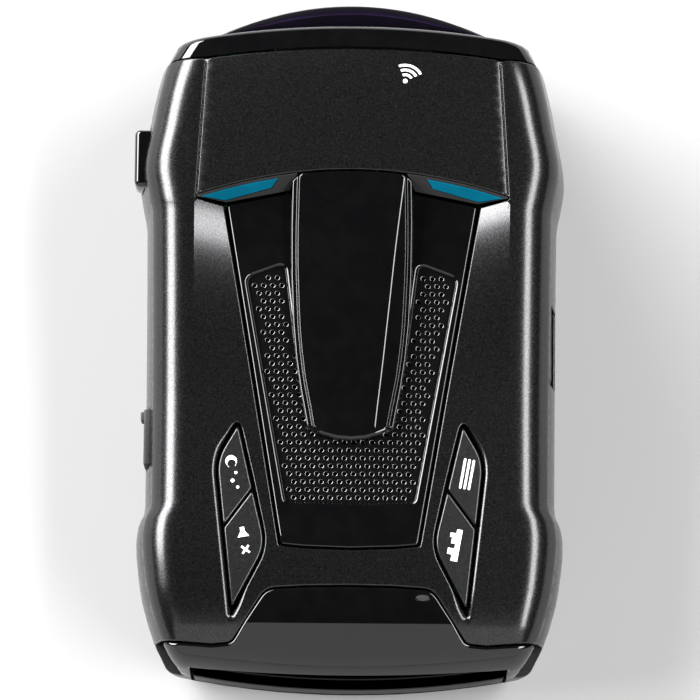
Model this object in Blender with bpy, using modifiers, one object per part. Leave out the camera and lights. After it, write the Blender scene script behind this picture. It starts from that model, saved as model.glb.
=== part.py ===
"""Radar detector for a car windscreen: a two-part housing, a lens nose, a display tail and what they hold.

Millimetres throughout, turned into metres as each mesh is made. +Z is up, +Y is the front that looks at the
road, +X is the right-hand side, and the origin is the middle of the flat underside.
"""
import math

import bmesh
import bpy
from mathutils import Matrix, Vector

MM = 0.001
GAP = 0.3

# Plan of the housing: half width at each station from nose to tail.
HALF_WIDTH = (
    (56.0, 29.0), (51.6, 30.4), (47.5, 31.9), (41.0, 33.5), (36.0, 34.4), (28.3, 35.6), (23.5, 34.9),
    (20.5, 34.35), (-27.0, 34.0), (-30.0, 35.1), (-32.7, 35.4), (-40.0, 34.7), (-48.0, 32.6),
    (-53.9, 30.0), (-54.8, 26.4), (-55.6, 20.8), (-56.5, 11.7), (-56.9, 2.0),
)
# Heights along the length: the hump at the front and the sunk deck behind it.
HUMP_TOP = ((56.0, 26.5), (51.3, 28.9), (47.7, 31.0), (40.0, 32.3), (28.0, 33.0), (22.0, 33.1))
DECK_TOP = (
    (26.0, 29.8), (0.0, 29.6), (-32.0, 28.8), (-41.0, 27.8), (-48.0, 25.9), (-53.0, 22.8), (-55.0, 20.4),
    (-56.0, 17.6), (-56.9, 14.9),
)
HUMP_STATIONS = (56.0, 51.3, 47.7, 44.0, 40.0, 34.0, 29.5)
DECK_STATIONS = (
    18.0, 10.0, 2.0, -8.0, -17.0, -27.0, -30.0, -32.7, -37.0, -41.0, -45.0, -49.0, -52.0, -53.9, -54.8,
    -55.6, -56.2, -56.7,
)
PARTING_Z = 13.5
SHELL = 2.0
SHOULDER_RADIUS = 6.0
SHOULDER_X = 27.0
SHOULDER_RISE = 3.2
CREASE_X = 25.9
CROWN = 900.0
SEAM_Y = 47.7
SEAM_DROP = 1.8
SEAM_BEND_X = 24.3

# Outlines on the top, right-hand half, seen from above.
STEP_ARC_Y = 27.1
STEP_ARC_DROP = 4.3
PANEL_TOP = ((10.4, 23.7), (20.6, 21.8))
PANEL_FOOT = ((11.2, -34.4), (0.0, -34.95))
GRILLE = ((9.4, -1.65), (11.1, 11.9), (17.2, 9.7), (10.5, -27.3))
LIGHT_PIPE = ((24.8, 22.6), (19.9, 24.1), (12.2, 25.7), (13.2, 24.4), (20.9, 22.4))
BUTTON_WELL = ((18.2, -12.0), (22.5, -20.2), (19.1, -46.0), (13.2, -34.9), (15.9, -23.7))
UPPER_BUTTON = ((18.2, -14.6), (21.75, -20.2), (20.5, -30.4), (15.9, -25.0))
LOWER_BUTTON = ((15.8, -25.7), (20.3, -31.2), (18.9, -43.6), (13.9, -34.0))
TAIL_BEZEL = ((0.0, -41.2), (13.6, -41.6), (19.15, -50.7), (31.7, -49.8))

# Buttons and their switches.
BUTTON_THICK = 2.0
BUTTON_TRAVEL = 0.6
KEY_BOARD_TOP = 21.6
SWITCH_SIDE = 4.5
SWITCH_TOP = 23.9
STEM_RADIUS = 1.3
PLUNGER_Z = (23.2, 25.0)
UPPER_STEM = (18.9, -22.0)
LOWER_STEM = (17.2, -34.4)

# Nose.
NOSE_RADIUS = 181.0
LENS_HALF = 25.0
LENS_LOW = 4.6
LENS_HIGH = 20.4
LENS_EDGE_Y = 51.9
LENS_RADIUS = 53.0
SLOT_HALF = 11.0
SLOT_LOW = 23.5
SLOT_HIGH = 26.1
GUIDE_FACE_Y = 50.6

# Release button on the left side, and the latch that it moves.
RELEASE_Y = (26.0, 35.6)
RELEASE_Z = (17.0, 24.0)
RELEASE_OUT = 36.2
LATCH_Y = (29.2, 32.2)
LATCH_Z = (21.2, 23.2)

# Side sockets.
JACK_HALF = 6.3
JACK_Z = (14.5, 23.0)
JACK_MOUTH_HALF = 4.85
JACK_MOUTH_Z = (15.6, 22.3)
PORT_Y = (-20.3, -11.0)
PORT_Z = (14.4, 20.6)
FLAP_HINGE = (-34.2, -20.6)

# Boards and fixings.
BOARD_Z = (12.6, 14.2)
BOARD_HALF = 22.0
SCREWS = ((25.2, 36.5), (-25.2, 36.5), (26.0, -38.0), (-26.0, -38.0))
BOSS_RADIUS = 2.75
SPEAKER_Y = -10.0


def clear_scene():
    for obj in list(bpy.data.objects):
        bpy.data.objects.remove(obj, do_unlink=True)


def new_collection(name):
    collection = bpy.data.collections.new(name)
    bpy.context.scene.collection.children.link(collection)
    return collection


clear_scene()
PARTS = new_collection("radar_detector")
CUTTERS = new_collection("cutters")


def material(name, colour, roughness, metallic=0.0):
    mat = bpy.data.materials.new(name)
    mat.use_nodes = True
    shader = mat.node_tree.nodes["Principled BSDF"]
    shader.inputs["Base Color"].default_value = (*colour, 1.0)
    shader.inputs["Roughness"].default_value = roughness
    shader.inputs["Metallic"].default_value = metallic
    return mat


def finish(obj, mat):
    """A named piece: its material, and smooth shading up to a sharp corner."""
    obj.data.materials.clear()
    obj.data.materials.append(mat)
    obj.data.shade_smooth()
    obj.data.set_sharp_from_angle(angle=math.radians(30))
    return obj


def as_cutter(obj):
    for holder in list(obj.users_collection):
        holder.objects.unlink(obj)
    CUTTERS.objects.link(obj)
    obj.hide_render = True
    obj.display_type = "WIRE"
    return obj


def from_bmesh(name, shape):
    mesh = bpy.data.meshes.new(name)
    bmesh.ops.recalc_face_normals(shape, faces=shape.faces)
    shape.to_mesh(mesh)
    shape.free()
    obj = bpy.data.objects.new(name, mesh)
    PARTS.objects.link(obj)
    return obj


def block(name, low, high):
    """A box between two corners."""
    shape = bmesh.new()
    bmesh.ops.create_cube(shape, size=1.0)
    size = [(b - a) * MM for a, b in zip(low, high)]
    middle = [(a + b) / 2 * MM for a, b in zip(low, high)]
    place = Matrix.Translation(middle) @ Matrix.Diagonal((*size, 1.0))
    bmesh.ops.transform(shape, matrix=place, verts=shape.verts)
    return from_bmesh(name, shape)


def rod(name, centre, radius, length, axis="Z", sides=20):
    """A cylinder about a point, along one axis."""
    shape = bmesh.new()
    bmesh.ops.create_cone(
        shape, cap_ends=True, segments=sides, radius1=radius * MM, radius2=radius * MM, depth=length * MM
    )
    turn = {"X": Matrix.Rotation(math.pi / 2, 4, "Y"), "Y": Matrix.Rotation(math.pi / 2, 4, "X")}
    place = Matrix.Translation(Vector(centre) * MM) @ turn.get(axis, Matrix.Identity(4))
    bmesh.ops.transform(shape, matrix=place, verts=shape.verts)
    return from_bmesh(name, shape)


def turned(name, profile, centre, sides=24):
    """A profile of (radius, height) that runs down its outer side, spun about Z."""
    shape = bmesh.new()
    ring = [shape.verts.new((r * MM, 0.0, z * MM)) for r, z in profile]
    for a, b in zip(ring, ring[1:] + ring[:1]):
        shape.edges.new((a, b))
    mesh = bpy.data.meshes.new(name)
    shape.to_mesh(mesh)
    shape.free()
    obj = bpy.data.objects.new(name, mesh)
    PARTS.objects.link(obj)
    obj.location = Vector(centre) * MM
    spin = obj.modifiers.new("spin", "SCREW")
    spin.axis = "Z"
    spin.angle = math.tau
    spin.steps = sides
    spin.render_steps = sides
    spin.use_merge_vertices = True
    spin.merge_threshold = 0.00001
    return obj


def curve_to_mesh(obj):
    """The curve's evaluated shape as a welded mesh, in the curve's place."""
    bpy.context.view_layer.update()
    evaluated = obj.evaluated_get(bpy.context.evaluated_depsgraph_get())
    mesh = bpy.data.meshes.new_from_object(evaluated)
    shape = bmesh.new()
    shape.from_mesh(mesh)
    bmesh.ops.remove_doubles(shape, verts=shape.verts, dist=0.000001)
    bmesh.ops.recalc_face_normals(shape, faces=shape.faces)
    shape.to_mesh(mesh)
    shape.free()
    name = obj.name
    solid = bpy.data.objects.new(name + "_solid", mesh)
    solid.matrix_world = obj.matrix_world.copy()
    bpy.data.objects.remove(obj, do_unlink=True)
    solid.name = name
    PARTS.objects.link(solid)
    return solid


def plate(name, outline, low, high):
    """A flat outline with thickness, from one height to another."""
    curve = bpy.data.curves.new(name, "CURVE")
    curve.dimensions = "2D"
    curve.fill_mode = "BOTH"
    curve.extrude = (high - low) / 2 * MM
    spline = curve.splines.new("POLY")
    spline.points.add(len(outline) - 1)
    for point, (x, y) in zip(spline.points, outline):
        point.co = (x * MM, y * MM, 0.0, 1.0)
    spline.use_cyclic_u = True
    obj = bpy.data.objects.new(name, curve)
    obj.location.z = (low + high) / 2 * MM
    PARTS.objects.link(obj)
    return curve_to_mesh(obj)


def wire(name, points, radius):
    """A round wire along its points."""
    curve = bpy.data.curves.new(name, "CURVE")
    curve.dimensions = "3D"
    curve.bevel_depth = radius * MM
    curve.bevel_resolution = 1
    curve.use_fill_caps = True
    spline = curve.splines.new("POLY")
    spline.points.add(len(points) - 1)
    for point, place in zip(spline.points, points):
        point.co = (*(Vector(place) * MM), 1.0)
    obj = bpy.data.objects.new(name, curve)
    PARTS.objects.link(obj)
    return curve_to_mesh(obj)


def loft(name, rows):
    """A solid through rows, each a top chain and a bottom chain with as many points."""
    shape = bmesh.new()
    made = []
    for top, bottom in rows:
        ring = list(top) + list(reversed(bottom))
        made.append([shape.verts.new(Vector(p) * MM) for p in ring])
    for a, b in zip(made, made[1:]):
        for i in range(len(a)):
            j = (i + 1) % len(a)
            shape.faces.new((a[i], a[j], b[j], b[i]))
    for ring in (made[0], made[-1]):
        last = len(ring) - 1
        for i in range(len(ring) // 2 - 1):
            shape.faces.new((ring[i], ring[i + 1], ring[last - i - 1], ring[last - i]))
    return from_bmesh(name, shape)


def sheet(name, rows, thickness):
    """An open skin through rows of points, thickened inwards."""
    shape = bmesh.new()
    made = [[shape.verts.new(Vector(p) * MM) for p in row] for row in rows]
    for a, b in zip(made, made[1:]):
        for i in range(len(a) - 1):
            shape.faces.new((a[i], a[i + 1], b[i + 1], b[i]))
    bmesh.ops.remove_doubles(shape, verts=shape.verts, dist=0.000001)
    mesh = bpy.data.meshes.new(name)
    shape.to_mesh(mesh)
    shape.free()
    obj = bpy.data.objects.new(name, mesh)
    PARTS.objects.link(obj)
    thick = obj.modifiers.new("thickness", "SOLIDIFY")
    thick.thickness = thickness * MM
    thick.offset = -1.0
    thick.use_even_offset = True
    return obj


def combine(obj, operation, *others, solver="EXACT"):
    """Booleans of one piece with others, which become hidden cutters."""
    for other in others:
        step = obj.modifiers.new(operation.lower(), "BOOLEAN")
        step.operation = operation
        step.solver = solver
        step.object = other
        as_cutter(other)
    return obj


def cut(obj, *others, solver="EXACT"):
    return combine(obj, "DIFFERENCE", *others, solver=solver)


def keep_inside(obj, other):
    return combine(obj, "INTERSECT", other)


def join(obj, *others):
    return combine(obj, "UNION", *others)


def along(table, y):
    """The value at station y of a table that runs from nose to tail."""
    if y >= table[0][0]:
        return table[0][1]
    for (y0, v0), (y1, v1) in zip(table, table[1:]):
        if y >= y1:
            return v0 + (v1 - v0) * (y0 - y) / (y0 - y1)
    return table[-1][1]


def mirrored(half):
    """A closed outline from its right-hand half, which runs from nose to tail."""
    left = [(-x, y) for x, y in reversed(half) if x > 0.001]
    return list(half) + left


def flipped(outline, side):
    return [(x * side, y) for x, y in outline]


def grown(outline, distance):
    """An outline moved outwards by a distance, corners kept sharp."""
    area = sum(a[0] * b[1] - b[0] * a[1] for a, b in zip(outline, outline[1:] + outline[:1]))
    sign = 1.0 if area > 0 else -1.0
    result = []
    count = len(outline)
    for i in range(count):
        before = Vector(outline[i]) - Vector(outline[i - 1])
        after = Vector(outline[(i + 1) % count]) - Vector(outline[i])
        n0 = Vector((before.y, -before.x)).normalized() * sign
        n1 = Vector((after.y, -after.x)).normalized() * sign
        middle = (n0 + n1).normalized()
        reach = distance / max(middle.dot(n0), 0.4)
        result.append(tuple(Vector(outline[i]) + middle * reach))
    return result


def step_arc(x):
    """Y of the hump's rear edge."""
    return STEP_ARC_Y - STEP_ARC_DROP * min(abs(x) / CREASE_X, 1.0) ** 2


def step_foot(x):
    """Y of the line where the step meets the deck."""
    return 24.1 - 1.7 * min(abs(x) / CREASE_X, 1.0) ** 1.5


def rise(y):
    """How far the shoulder stands above the deck's own crown: all of it at the step, none at the keys."""
    return SHOULDER_RISE * min(max((y + 10.0) / 32.0, 0.0), 1.0) ** 1.2


def deck_edge(y):
    """Half width of the level deck, along the glossy panel; a facet rises from it to the shoulder."""
    return min(max(20.6 + 0.167 * (y - 21.8), 15.3), 20.6)


def across(y, is_hump, inset):
    """Right-hand half of a section of the upper housing, from its foot to the middle, as (x, z)."""
    half = max(along(HALF_WIDTH, y) - inset, 1.5)
    middle = along(HUMP_TOP if is_hump else DECK_TOP, y) - inset
    lift = 0.0 if is_hump else rise(y)
    crest = middle - SHOULDER_X ** 2 / CROWN + lift
    radius = max(min(SHOULDER_RADIUS, 0.4 * (crest - PARTING_Z), 0.35 * half) - 1.6 * inset, 1.2)
    edge = deck_edge(y) - 0.3 * inset
    crease = CREASE_X + 0.6 * inset
    lean = min(1.0, 0.1 * half)
    points = [(half, PARTING_Z + 0.3), (half - lean * 0.35, PARTING_Z + 0.5 * (crest - radius - PARTING_Z))]
    for i in range(5):
        angle = i * math.pi / 8
        points.append((half - lean - radius * (1 - math.cos(angle)), crest - radius * (1 - math.sin(angle))))
    inner = points[-1][0]
    for x in (crease, edge, 14.0, 7.0, 0.0):
        share = min(max((x - edge) / (crease - edge), 0.0), 1.0)
        x = min(x, inner * x / 27.2)
        points.append((x, middle - x * x / CROWN + lift * share))
    return points


def section(y, is_hump, inset, bend=None):
    """A whole section as points in space, right to left; bend gives Y from x."""
    half = across(y, is_hump, inset)
    chain = half + [(-x, z) for x, z in reversed(half[:-1])]
    return [(x, bend(x) if bend else y, z) for x, z in chain]


def upper_body(name, inset, floor):
    """The upper housing as one solid, smaller by an inset, down to a floor height."""
    rows = []
    shift = inset * 0.6
    for y in HUMP_STATIONS:
        rows.append(section(y, True, inset))
    rows.append(section(25.5, True, inset, lambda x: step_arc(x) + shift))
    rows.append(section(23.0, False, inset, lambda x: step_foot(x) + shift))
    last = DECK_STATIONS[-1] + inset * 1.05
    for y in DECK_STATIONS:
        if y > last:
            rows.append(section(y, False, inset))
    if inset:
        rows.append(section(last, False, inset))
    return loft(name, [(row, [(x, y, floor) for x, y, z in row]) for row in rows])


def skin(name, thickness):
    """The upper housing's wall, to be trimmed to one panel."""
    body = upper_body(name, 0.0, PARTING_Z + 0.15)
    return cut(body, upper_body(name + "_hollow", thickness, PARTING_Z - 3.0))


def light_trim_outline(grow_by=0.0):
    upper = [(x, step_arc(x) - 0.15) for x in (25.3, 22.0, 18.0, 14.0, 10.8)]
    lower = [(10.8, 23.9), (20.6, 22.1), (25.3, 22.3)]
    return grown(upper + lower, grow_by)


def panel_outline():
    return mirrored([(0.0, 23.9), *PANEL_TOP, *PANEL_FOOT])


def opening_outline():
    """The deck's opening in the top cover: both light trims, the hood's root and the glossy panel."""
    arc = [(x, step_arc(x) + 0.15) for x in (0.0, 6.0, 12.0, 18.0, 22.0, 25.6)]
    return mirrored(arc + [(25.6, 22.0), (20.9, 21.5), (11.4, -34.7), (0.0, -35.3)])


def grille_outline():
    return mirrored([(0.0, -1.65), *GRILLE, (0.0, -27.6)])


def bezel_outline():
    return mirrored([*TAIL_BEZEL, (40.0, -49.4), (40.0, -62.0)])


def plan(inset, rear=0.0):
    """The housing's plan as a closed outline."""
    half = [(along(HALF_WIDTH, y) - inset, y) for y, _ in HALF_WIDTH[:-5]]
    half.append((30.0 - inset - 0.2, -53.9 + rear))
    for x in (27.0, 20.0, 12.0, 4.0):
        half.append((x * (30.0 - inset) / 30.0, -56.9 + x * x / 290.0 + rear))
    return mirrored(half)


def tub(name, steps):
    """A solid through plans stacked in height, each (inset, rear inset, z)."""
    shape = bmesh.new()
    rings = []
    for inset, rear, z in steps:
        rings.append([shape.verts.new(Vector((x, y, z)) * MM) for x, y in plan(inset, rear)])
    for a, b in zip(rings, rings[1:]):
        for i in range(len(a)):
            j = (i + 1) % len(a)
            shape.faces.new((a[i], a[j], b[j], b[i]))
    for ring in (rings[0], rings[-1]):
        last = len(ring) - 1
        for i in range(len(ring) // 2 - 1):
            shape.faces.new((ring[i], ring[i + 1], ring[last - i - 1], ring[last - i]))
    return from_bmesh(name, shape)


def side_windows(grow_by):
    """Cutters for the release button, the jack and the port in the upper housing's sides."""
    windows = []
    for name, outer, inner, ys, zs in (
        ("release_window", -40.0, -30.0, RELEASE_Y, RELEASE_Z),
        ("jack_window", 29.0, 40.0, (-JACK_HALF, JACK_HALF), JACK_Z),
        ("port_window", -40.0, -29.0, PORT_Y, PORT_Z),
    ):
        low = (outer, ys[0] - grow_by, zs[0] - grow_by)
        high = (inner, ys[1] + grow_by, zs[1] + grow_by)
        windows.append(block(name, low, high))
    return windows


def make_top_cover(mat):
    cover = skin("top_cover", SHELL)
    cut(
        cover,
        nose_side("nose_cut", 0, 50),
        plate("deck_opening", opening_outline(), 20, 40),
        plate("tail_opening", grown(bezel_outline(), GAP), 8, 40),
        plate("right_well", list(BUTTON_WELL), 20, 40),
        plate("left_well", flipped(BUTTON_WELL, -1), 20, 40),
        *side_windows(GAP),
    )
    for i, (x, y) in enumerate(SCREWS):
        roof = 30.9 if y > 0 else 26.8
        join(cover, rod(f"boss_{i}", (x, y, (4.3 + roof) / 2), BOSS_RADIUS, roof - 4.3, sides=16))
    join(cover, block("spring_rib", (23.6, 28.2, 19.5), (25.0, 33.2, 31.2)))
    for i, (x, y) in enumerate(SCREWS):
        cut(cover, rod(f"pilot_{i}", (x, y, 8.0), 1.8, 12.0, sides=12))
    return finish(cover, mat)


def make_bottom_cover(mat):
    rim = (0.0, 0.0, PARTING_Z - 0.15)
    steps = (rim, (0.4, 0.1, 9.0), (1.3, 0.4, 4.0), (2.6, 1.2, 1.3), (4.6, 3.0, 0.0))
    cover = tub("bottom_cover", steps)
    hollow = ((2.0, 2.0, 20.0), (2.2, 2.0, 9.0), (3.2, 2.4, 4.4), (5.0, 4.0, 2.4))
    cut(cover, tub("bottom_hollow", hollow))
    for i, (x, y) in enumerate(SCREWS):
        join(cover, rod(f"seat_{i}", (x, y, 2.2), 3.9, 3.6, sides=16))
    for i, (x, y) in enumerate(((19.0, 40.0), (-19.0, 40.0), (19.0, -44.0), (-19.0, -44.0))):
        join(cover, rod(f"standoff_{i}", (x, y, 6.9), 2.0, 10.8, sides=12))
    for i, (x, y) in enumerate(SCREWS):
        cut(cover, rod(f"head_pocket_{i}", (x, y, 0.0), 3.1, 3.8, sides=20))
        cut(cover, rod(f"shank_hole_{i}", (x, y, 4.0), 1.8, 8.0, sides=12))
    cut(
        cover,
        nose_side("nose_cut_low", -5, 20),
        block("window_cut_low", (-26.0, -70, 5.2), (26.0, -52.0, 20)),
        block("label_pocket", (-18.0, -34.0, -1.0), (18.0, -12.0, 0.8)),
    )
    return finish(cover, mat)


def seam(x):
    """Y of the joint between the covers and the nose."""
    return SEAM_Y - SEAM_DROP * min(abs(x) / SEAM_BEND_X, 1.0) ** 2


def nose_side(name, low, high):
    """Everything in front of the seam, as a cutter."""
    back = [(x, seam(x)) for x in (40.0, 24.3, 20.0, 14.0, 7.0, 0.0)]
    back += [(-x, y) for x, y in reversed(back[:-1])]
    return plate(name, [*back, (-40.0, 70.0), (40.0, 70.0)], low, high)


def nose_front(x):
    return 51.3 - x * x / (2 * NOSE_RADIUS)


def nose_rows(inset, back_shift, front_shift):
    """Rows of the nose's solid from its seam to its face: (top chain, bottom chain)."""
    low_steps = (
        (12.8, 0.995), (7.5, 0.985), (3.8, 0.965), (1.9, 0.95), (0.9, 0.94), (0.4, 0.95), (0.2, 0.97),
    )
    rows = []
    for shrink, bend in (
        (0.0, lambda x: seam(x) + back_shift),
        (0.3, lambda x: nose_front(x) - 1.4 + min(front_shift, 0.0)),
        (1.7, lambda x: nose_front(x) + front_shift),
    ):
        top = section(48.0, True, inset + shrink)
        low = []
        for i, (x, _, _) in enumerate(top):
            z, share = low_steps[min(i, len(top) - 1 - i, 6)]
            low.append((x * share, z + inset + shrink * 0.6))
        rows.append(([(x, bend(x), z) for x, _, z in top], [(x, bend(x), z) for x, z in low]))
    return rows


def make_front_bezel(mat):
    bezel = loft("front_bezel", nose_rows(0.0, GAP, 0.0))
    cut(
        bezel,
        loft("nose_hollow", nose_rows(2.0, -3.0, -2.2)),
        block("lens_window", (-LENS_HALF - GAP, 40, LENS_LOW - GAP), (LENS_HALF + GAP, 60, LENS_HIGH + GAP)),
        block("guide_window", (-14.2 - GAP, 40, 22.2 - GAP), (14.2 + GAP, 60, 27.3 + GAP)),
        solver="MANIFOLD",
    )
    return finish(bezel, mat)


def lens_solid(name, wall, back):
    """The nose lens as a solid: a bow across, eased towards its top and bottom edges."""
    half = LENS_HALF - wall
    low = LENS_LOW + wall * 0.8
    high = LENS_HIGH - wall * 0.8
    rows = []
    heights = (0.0, 0.08, 0.25, 0.5, 0.75, 0.92, 1.0)
    bows = (0.45, 0.75, 0.95, 1.0, 0.95, 0.75, 0.45)
    for height, share in zip(heights, bows):
        z = low + (high - low) * height
        front = []
        for i in range(17):
            x = half * math.sin(math.pi * (i / 16 - 0.5))
            bow = math.sqrt(LENS_RADIUS ** 2 - x * x) - math.sqrt(LENS_RADIUS ** 2 - LENS_HALF ** 2)
            front.append((x, LENS_EDGE_Y - wall + bow * share, z))
        rows.append((front, [(x, back, z) for x, _, _ in front]))
    return loft(name, rows)


def make_front_lens(mat):
    lens = lens_solid("front_lens", 0.0, 48.4)
    cut(lens, lens_solid("lens_hollow", 1.6, 46.0))
    return finish(lens, mat)


def make_bracket_guide(mat):
    guide = block("bracket_guide", (-13.0, 36.0, 22.3), (13.0, 48.3, 27.3))
    join(guide, block("guide_flange", (-14.2, 48.0, 22.2), (14.2, GUIDE_FACE_Y, 27.3)))
    cut(
        guide,
        block("guide_slot", (-SLOT_HALF, 37.6, SLOT_LOW), (SLOT_HALF, 60, SLOT_HIGH)),
        block("tooth_window", (10.5, 40.2, SLOT_LOW), (13.6, 43.8, SLOT_HIGH)),
    )
    return finish(guide, mat)


def make_release(mat_button, mat_latch, mat_spring):
    button = block(
        "bracket_release_button",
        (-RELEASE_OUT, RELEASE_Y[0], RELEASE_Z[0]),
        (-30.6, RELEASE_Y[1], RELEASE_Z[1]),
    )
    button.modifiers.new("rounding", "BEVEL").width = 0.8 * MM
    join(button, block("release_flange", (-31.1, 24.9, 16.2), (-30.2, 36.6, 24.4)))
    finish(button, mat_button)
    latch = block("latch_bar", (-29.9, LATCH_Y[0], LATCH_Z[0]), (17.0, LATCH_Y[1], LATCH_Z[1]))
    join(
        latch,
        block("latch_leg", (14.6, LATCH_Y[0] + 0.5, LATCH_Z[0]), (17.0, 43.4, LATCH_Z[1])),
        block("latch_riser", (14.6, 40.6, LATCH_Z[0] + 0.4), (17.0, 43.4, 25.6)),
        block("latch_tooth", (9.8, 41.0, 24.0), (15.0, 43.0, 25.6)),
    )
    finish(latch, mat_latch)
    turns = 5
    steps = 8
    coil = []
    for i in range(turns * steps + 1):
        angle = i * math.tau / steps
        x = 17.8 + 5.0 * i / (turns * steps)
        coil.append((x, 30.7 + 1.3 * math.cos(angle), 22.2 + 1.3 * math.sin(angle)))
    finish(wire("latch_spring", coil, 0.18), mat_spring)


def make_deck_pieces(mats):
    panel = keep_inside(skin("centre_panel", 1.6), plate("panel_prism", grown(panel_outline(), -0.1), 20, 40))
    cut(panel, plate("grille_opening", grille_outline(), 20, 40))
    finish(panel, mats["gloss_black"])
    grille_prism = plate("grille_prism", grown(grille_outline(), -GAP), 20, 40)
    grille = keep_inside(skin("speaker_grille", 2.1), grille_prism)
    cut(grille, upper_slice("grille_recess", 0.8))
    cut(grille, *grille_holes())
    finish(grille, mats["grille_black"])
    for name, side in (("left", -1), ("right", 1)):
        trim = keep_inside(
            skin(f"{name}_light_trim", 1.5),
            plate(f"{name}_trim_prism", flipped(light_trim_outline(), side), 20, 40),
        )
        hole = plate(f"{name}_pipe_hole", flipped(grown(list(LIGHT_PIPE), 0.25), side), 20, 40)
        cut(trim, hole, solver="MANIFOLD")
        finish(trim, mats["trim_grey"])
        pipe = keep_inside(
            skin(f"{name}_light_pipe", 1.8),
            plate(f"{name}_pipe_prism", flipped(LIGHT_PIPE, side), 20, 40),
        )
        finish(pipe, mats["light_teal"])


def upper_slice(name, depth):
    """The outermost layer of the upper housing, as a cutter that sinks a piece below its surface."""
    layer = loft(
        name,
        [
            (
                [(x, y, z + 4.0) for x, y, z in section(station, False, 0.0)],
                [(x, y, z - depth) for x, y, z in section(station, False, 0.0)],
            )
            for station in (20.0, 10.0, 2.0, -8.0, -17.0, -30.0)
        ],
    )
    return layer


def grille_holes():
    """Round holes on a triangular pitch, each clear of the grille's edges."""
    pitch = 3.0
    radius = 0.75
    outline = grown(grille_outline(), -GAP - 1.6)
    holes = []
    for row in range(14):
        y = 8.6 - row * pitch * math.sqrt(3) / 2
        for column in range(-6, 7):
            x = (column + 0.5 * (row % 2)) * pitch
            if inside(x, y, outline):
                holes.append((x, y))
    shape = bmesh.new()
    for x, y in holes:
        place = Matrix.Translation(Vector((x, y, 28.0)) * MM)
        size = {"radius1": radius * MM, "radius2": radius * MM, "depth": 10 * MM}
        bmesh.ops.create_cone(shape, cap_ends=True, segments=6, matrix=place, **size)
    return (from_bmesh("grille_hole_group", shape),)


def inside(x, y, outline):
    """Whether a point lies in a closed outline."""
    odd = False
    for (x0, y0), (x1, y1) in zip(outline, outline[1:] + outline[:1]):
        if (y0 > y) != (y1 > y) and x < x0 + (x1 - x0) * (y - y0) / (y1 - y0):
            odd = not odd
    return odd


def make_hood(mat):
    """The glossy tongue over the rear sensor: (y, foot half width, ridge half width, foot z, ridge z)."""
    stations = (
        (26.4, 9.0, 8.3, 30.2, 32.9), (23.3, 10.0, 8.1, 30.6, 32.9), (15.0, 9.8, 7.1, 30.5, 32.4),
        (2.5, 9.5, 5.8, 30.3, 31.6), (-6.0, 8.5, 4.8, 30.2, 31.3), (-12.0, 7.4, 3.8, 30.1, 31.1),
        (-15.3, 6.4, 2.8, 30.0, 30.9), (-16.6, 4.6, 2.0, 29.9, 30.6), (-16.95, 3.4, 1.4, 29.9, 30.1),
    )
    rows = []
    for y, foot, ridge, low, high in stations:
        flank = (foot * 0.55 + ridge * 0.45, low * 0.4 + high * 0.6)
        half = [(foot, low), flank, (ridge, high - 0.1), (ridge * 0.5, high)]
        chain = half + [(0.0, high + 0.05)] + [(-x, z) for x, z in reversed(half)]
        rows.append([(x, y, z) for x, z in chain])
    hood = sheet("rear_sensor_hood", rows, 0.9)
    return finish(hood, mat)


def make_tail(mats):
    bezel = keep_inside(skin("rear_bezel", 1.8), plate("bezel_prism", bezel_outline(), 8, 40))
    cut(bezel, block("window_cut", (-26.0, -70, 8), (26.0, -52.6, 20.0)))
    cut(bezel, rod("sensor_hole", (12.0, -42.9, 26.0), 1.35, 8, sides=12))
    finish(bezel, mats["gloss_black"])
    rows = []
    columns = (25.7, 20, 13, 6.5, 0, -6.5, -13, -20, -25.7)
    for z, lean in ((19.7, 0.9), (16.5, 0.45), (13.2, 0.1), (9.0, 0.0), (5.5, 0.05)):
        rows.append([(x, -56.5 + x * x / 300 + lean, z) for x in columns])
    window = sheet("display_window", rows, 1.6)
    finish(window, mats["smoke_window"])
    finish(block("display_module", (-19, -52.5, 7.0), (19, -50.1, 18.2)), mats["display_black"])
    finish(block("display_board", (-24, -49.8, 5.4), (24, -48.2, 19.4)), mats["board_green"])
    finish(rod("light_sensor_pipe", (12.0, -42.9, 21.8), 0.95, 11.2, sides=12), mats["clear_lens"])
    finish(block("light_sensor", (10.8, -43.9, 14.5), (13.2, -41.9, 15.6)), mats["chip_black"])


def skin_button(name, outline, stem, side, mat):
    prism = plate(f"{name}_prism", flipped(outline, side), 20, 40)
    button = keep_inside(skin(name, BUTTON_THICK), prism)
    x, y = stem
    low = PLUNGER_Z[1] + GAP
    join(button, rod(f"{name}_stem", (x * side, y, (low + 28.0) / 2), STEM_RADIUS, 28.0 - low, sides=12))
    return finish(button, mat)


def make_buttons(mats):
    """Two buttons on each side, each over its own switch."""
    half = SWITCH_SIDE / 2
    for side, names in ((-1, ("dark", "quiet")), (1, ("menu", "city"))):
        for name, outline, stem in zip(names, (UPPER_BUTTON, LOWER_BUTTON), (UPPER_STEM, LOWER_STEM)):
            skin_button(f"{name}_button", outline, stem, side, mats["button_black"])
            x = stem[0] * side
            y = stem[1]
            low = KEY_BOARD_TOP + GAP
            switch = block(f"{name}_switch", (x - half, y - half, low), (x + half, y + half, SWITCH_TOP))
            floor = PLUNGER_Z[0] - BUTTON_TRAVEL - 0.2
            cut(switch, rod(f"{name}_bore", (x, y, floor + 2.0), 1.5, 4.0, sides=12))
            finish(switch, mats["chip_black"])
            middle = (PLUNGER_Z[0] + PLUNGER_Z[1]) / 2
            plunger = rod(f"{name}_plunger", (x, y, middle), 1.1, PLUNGER_Z[1] - PLUNGER_Z[0], sides=12)
            finish(plunger, mats["plunger_white"])
        low_x = 14.2 if side > 0 else -22.8
        key_board = block(
            "right_key_board" if side > 0 else "left_key_board",
            (low_x, -42.0, KEY_BOARD_TOP - 1.6),
            (low_x + 8.6, -14.0, KEY_BOARD_TOP),
        )
        finish(key_board, mats["board_green"])


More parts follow.
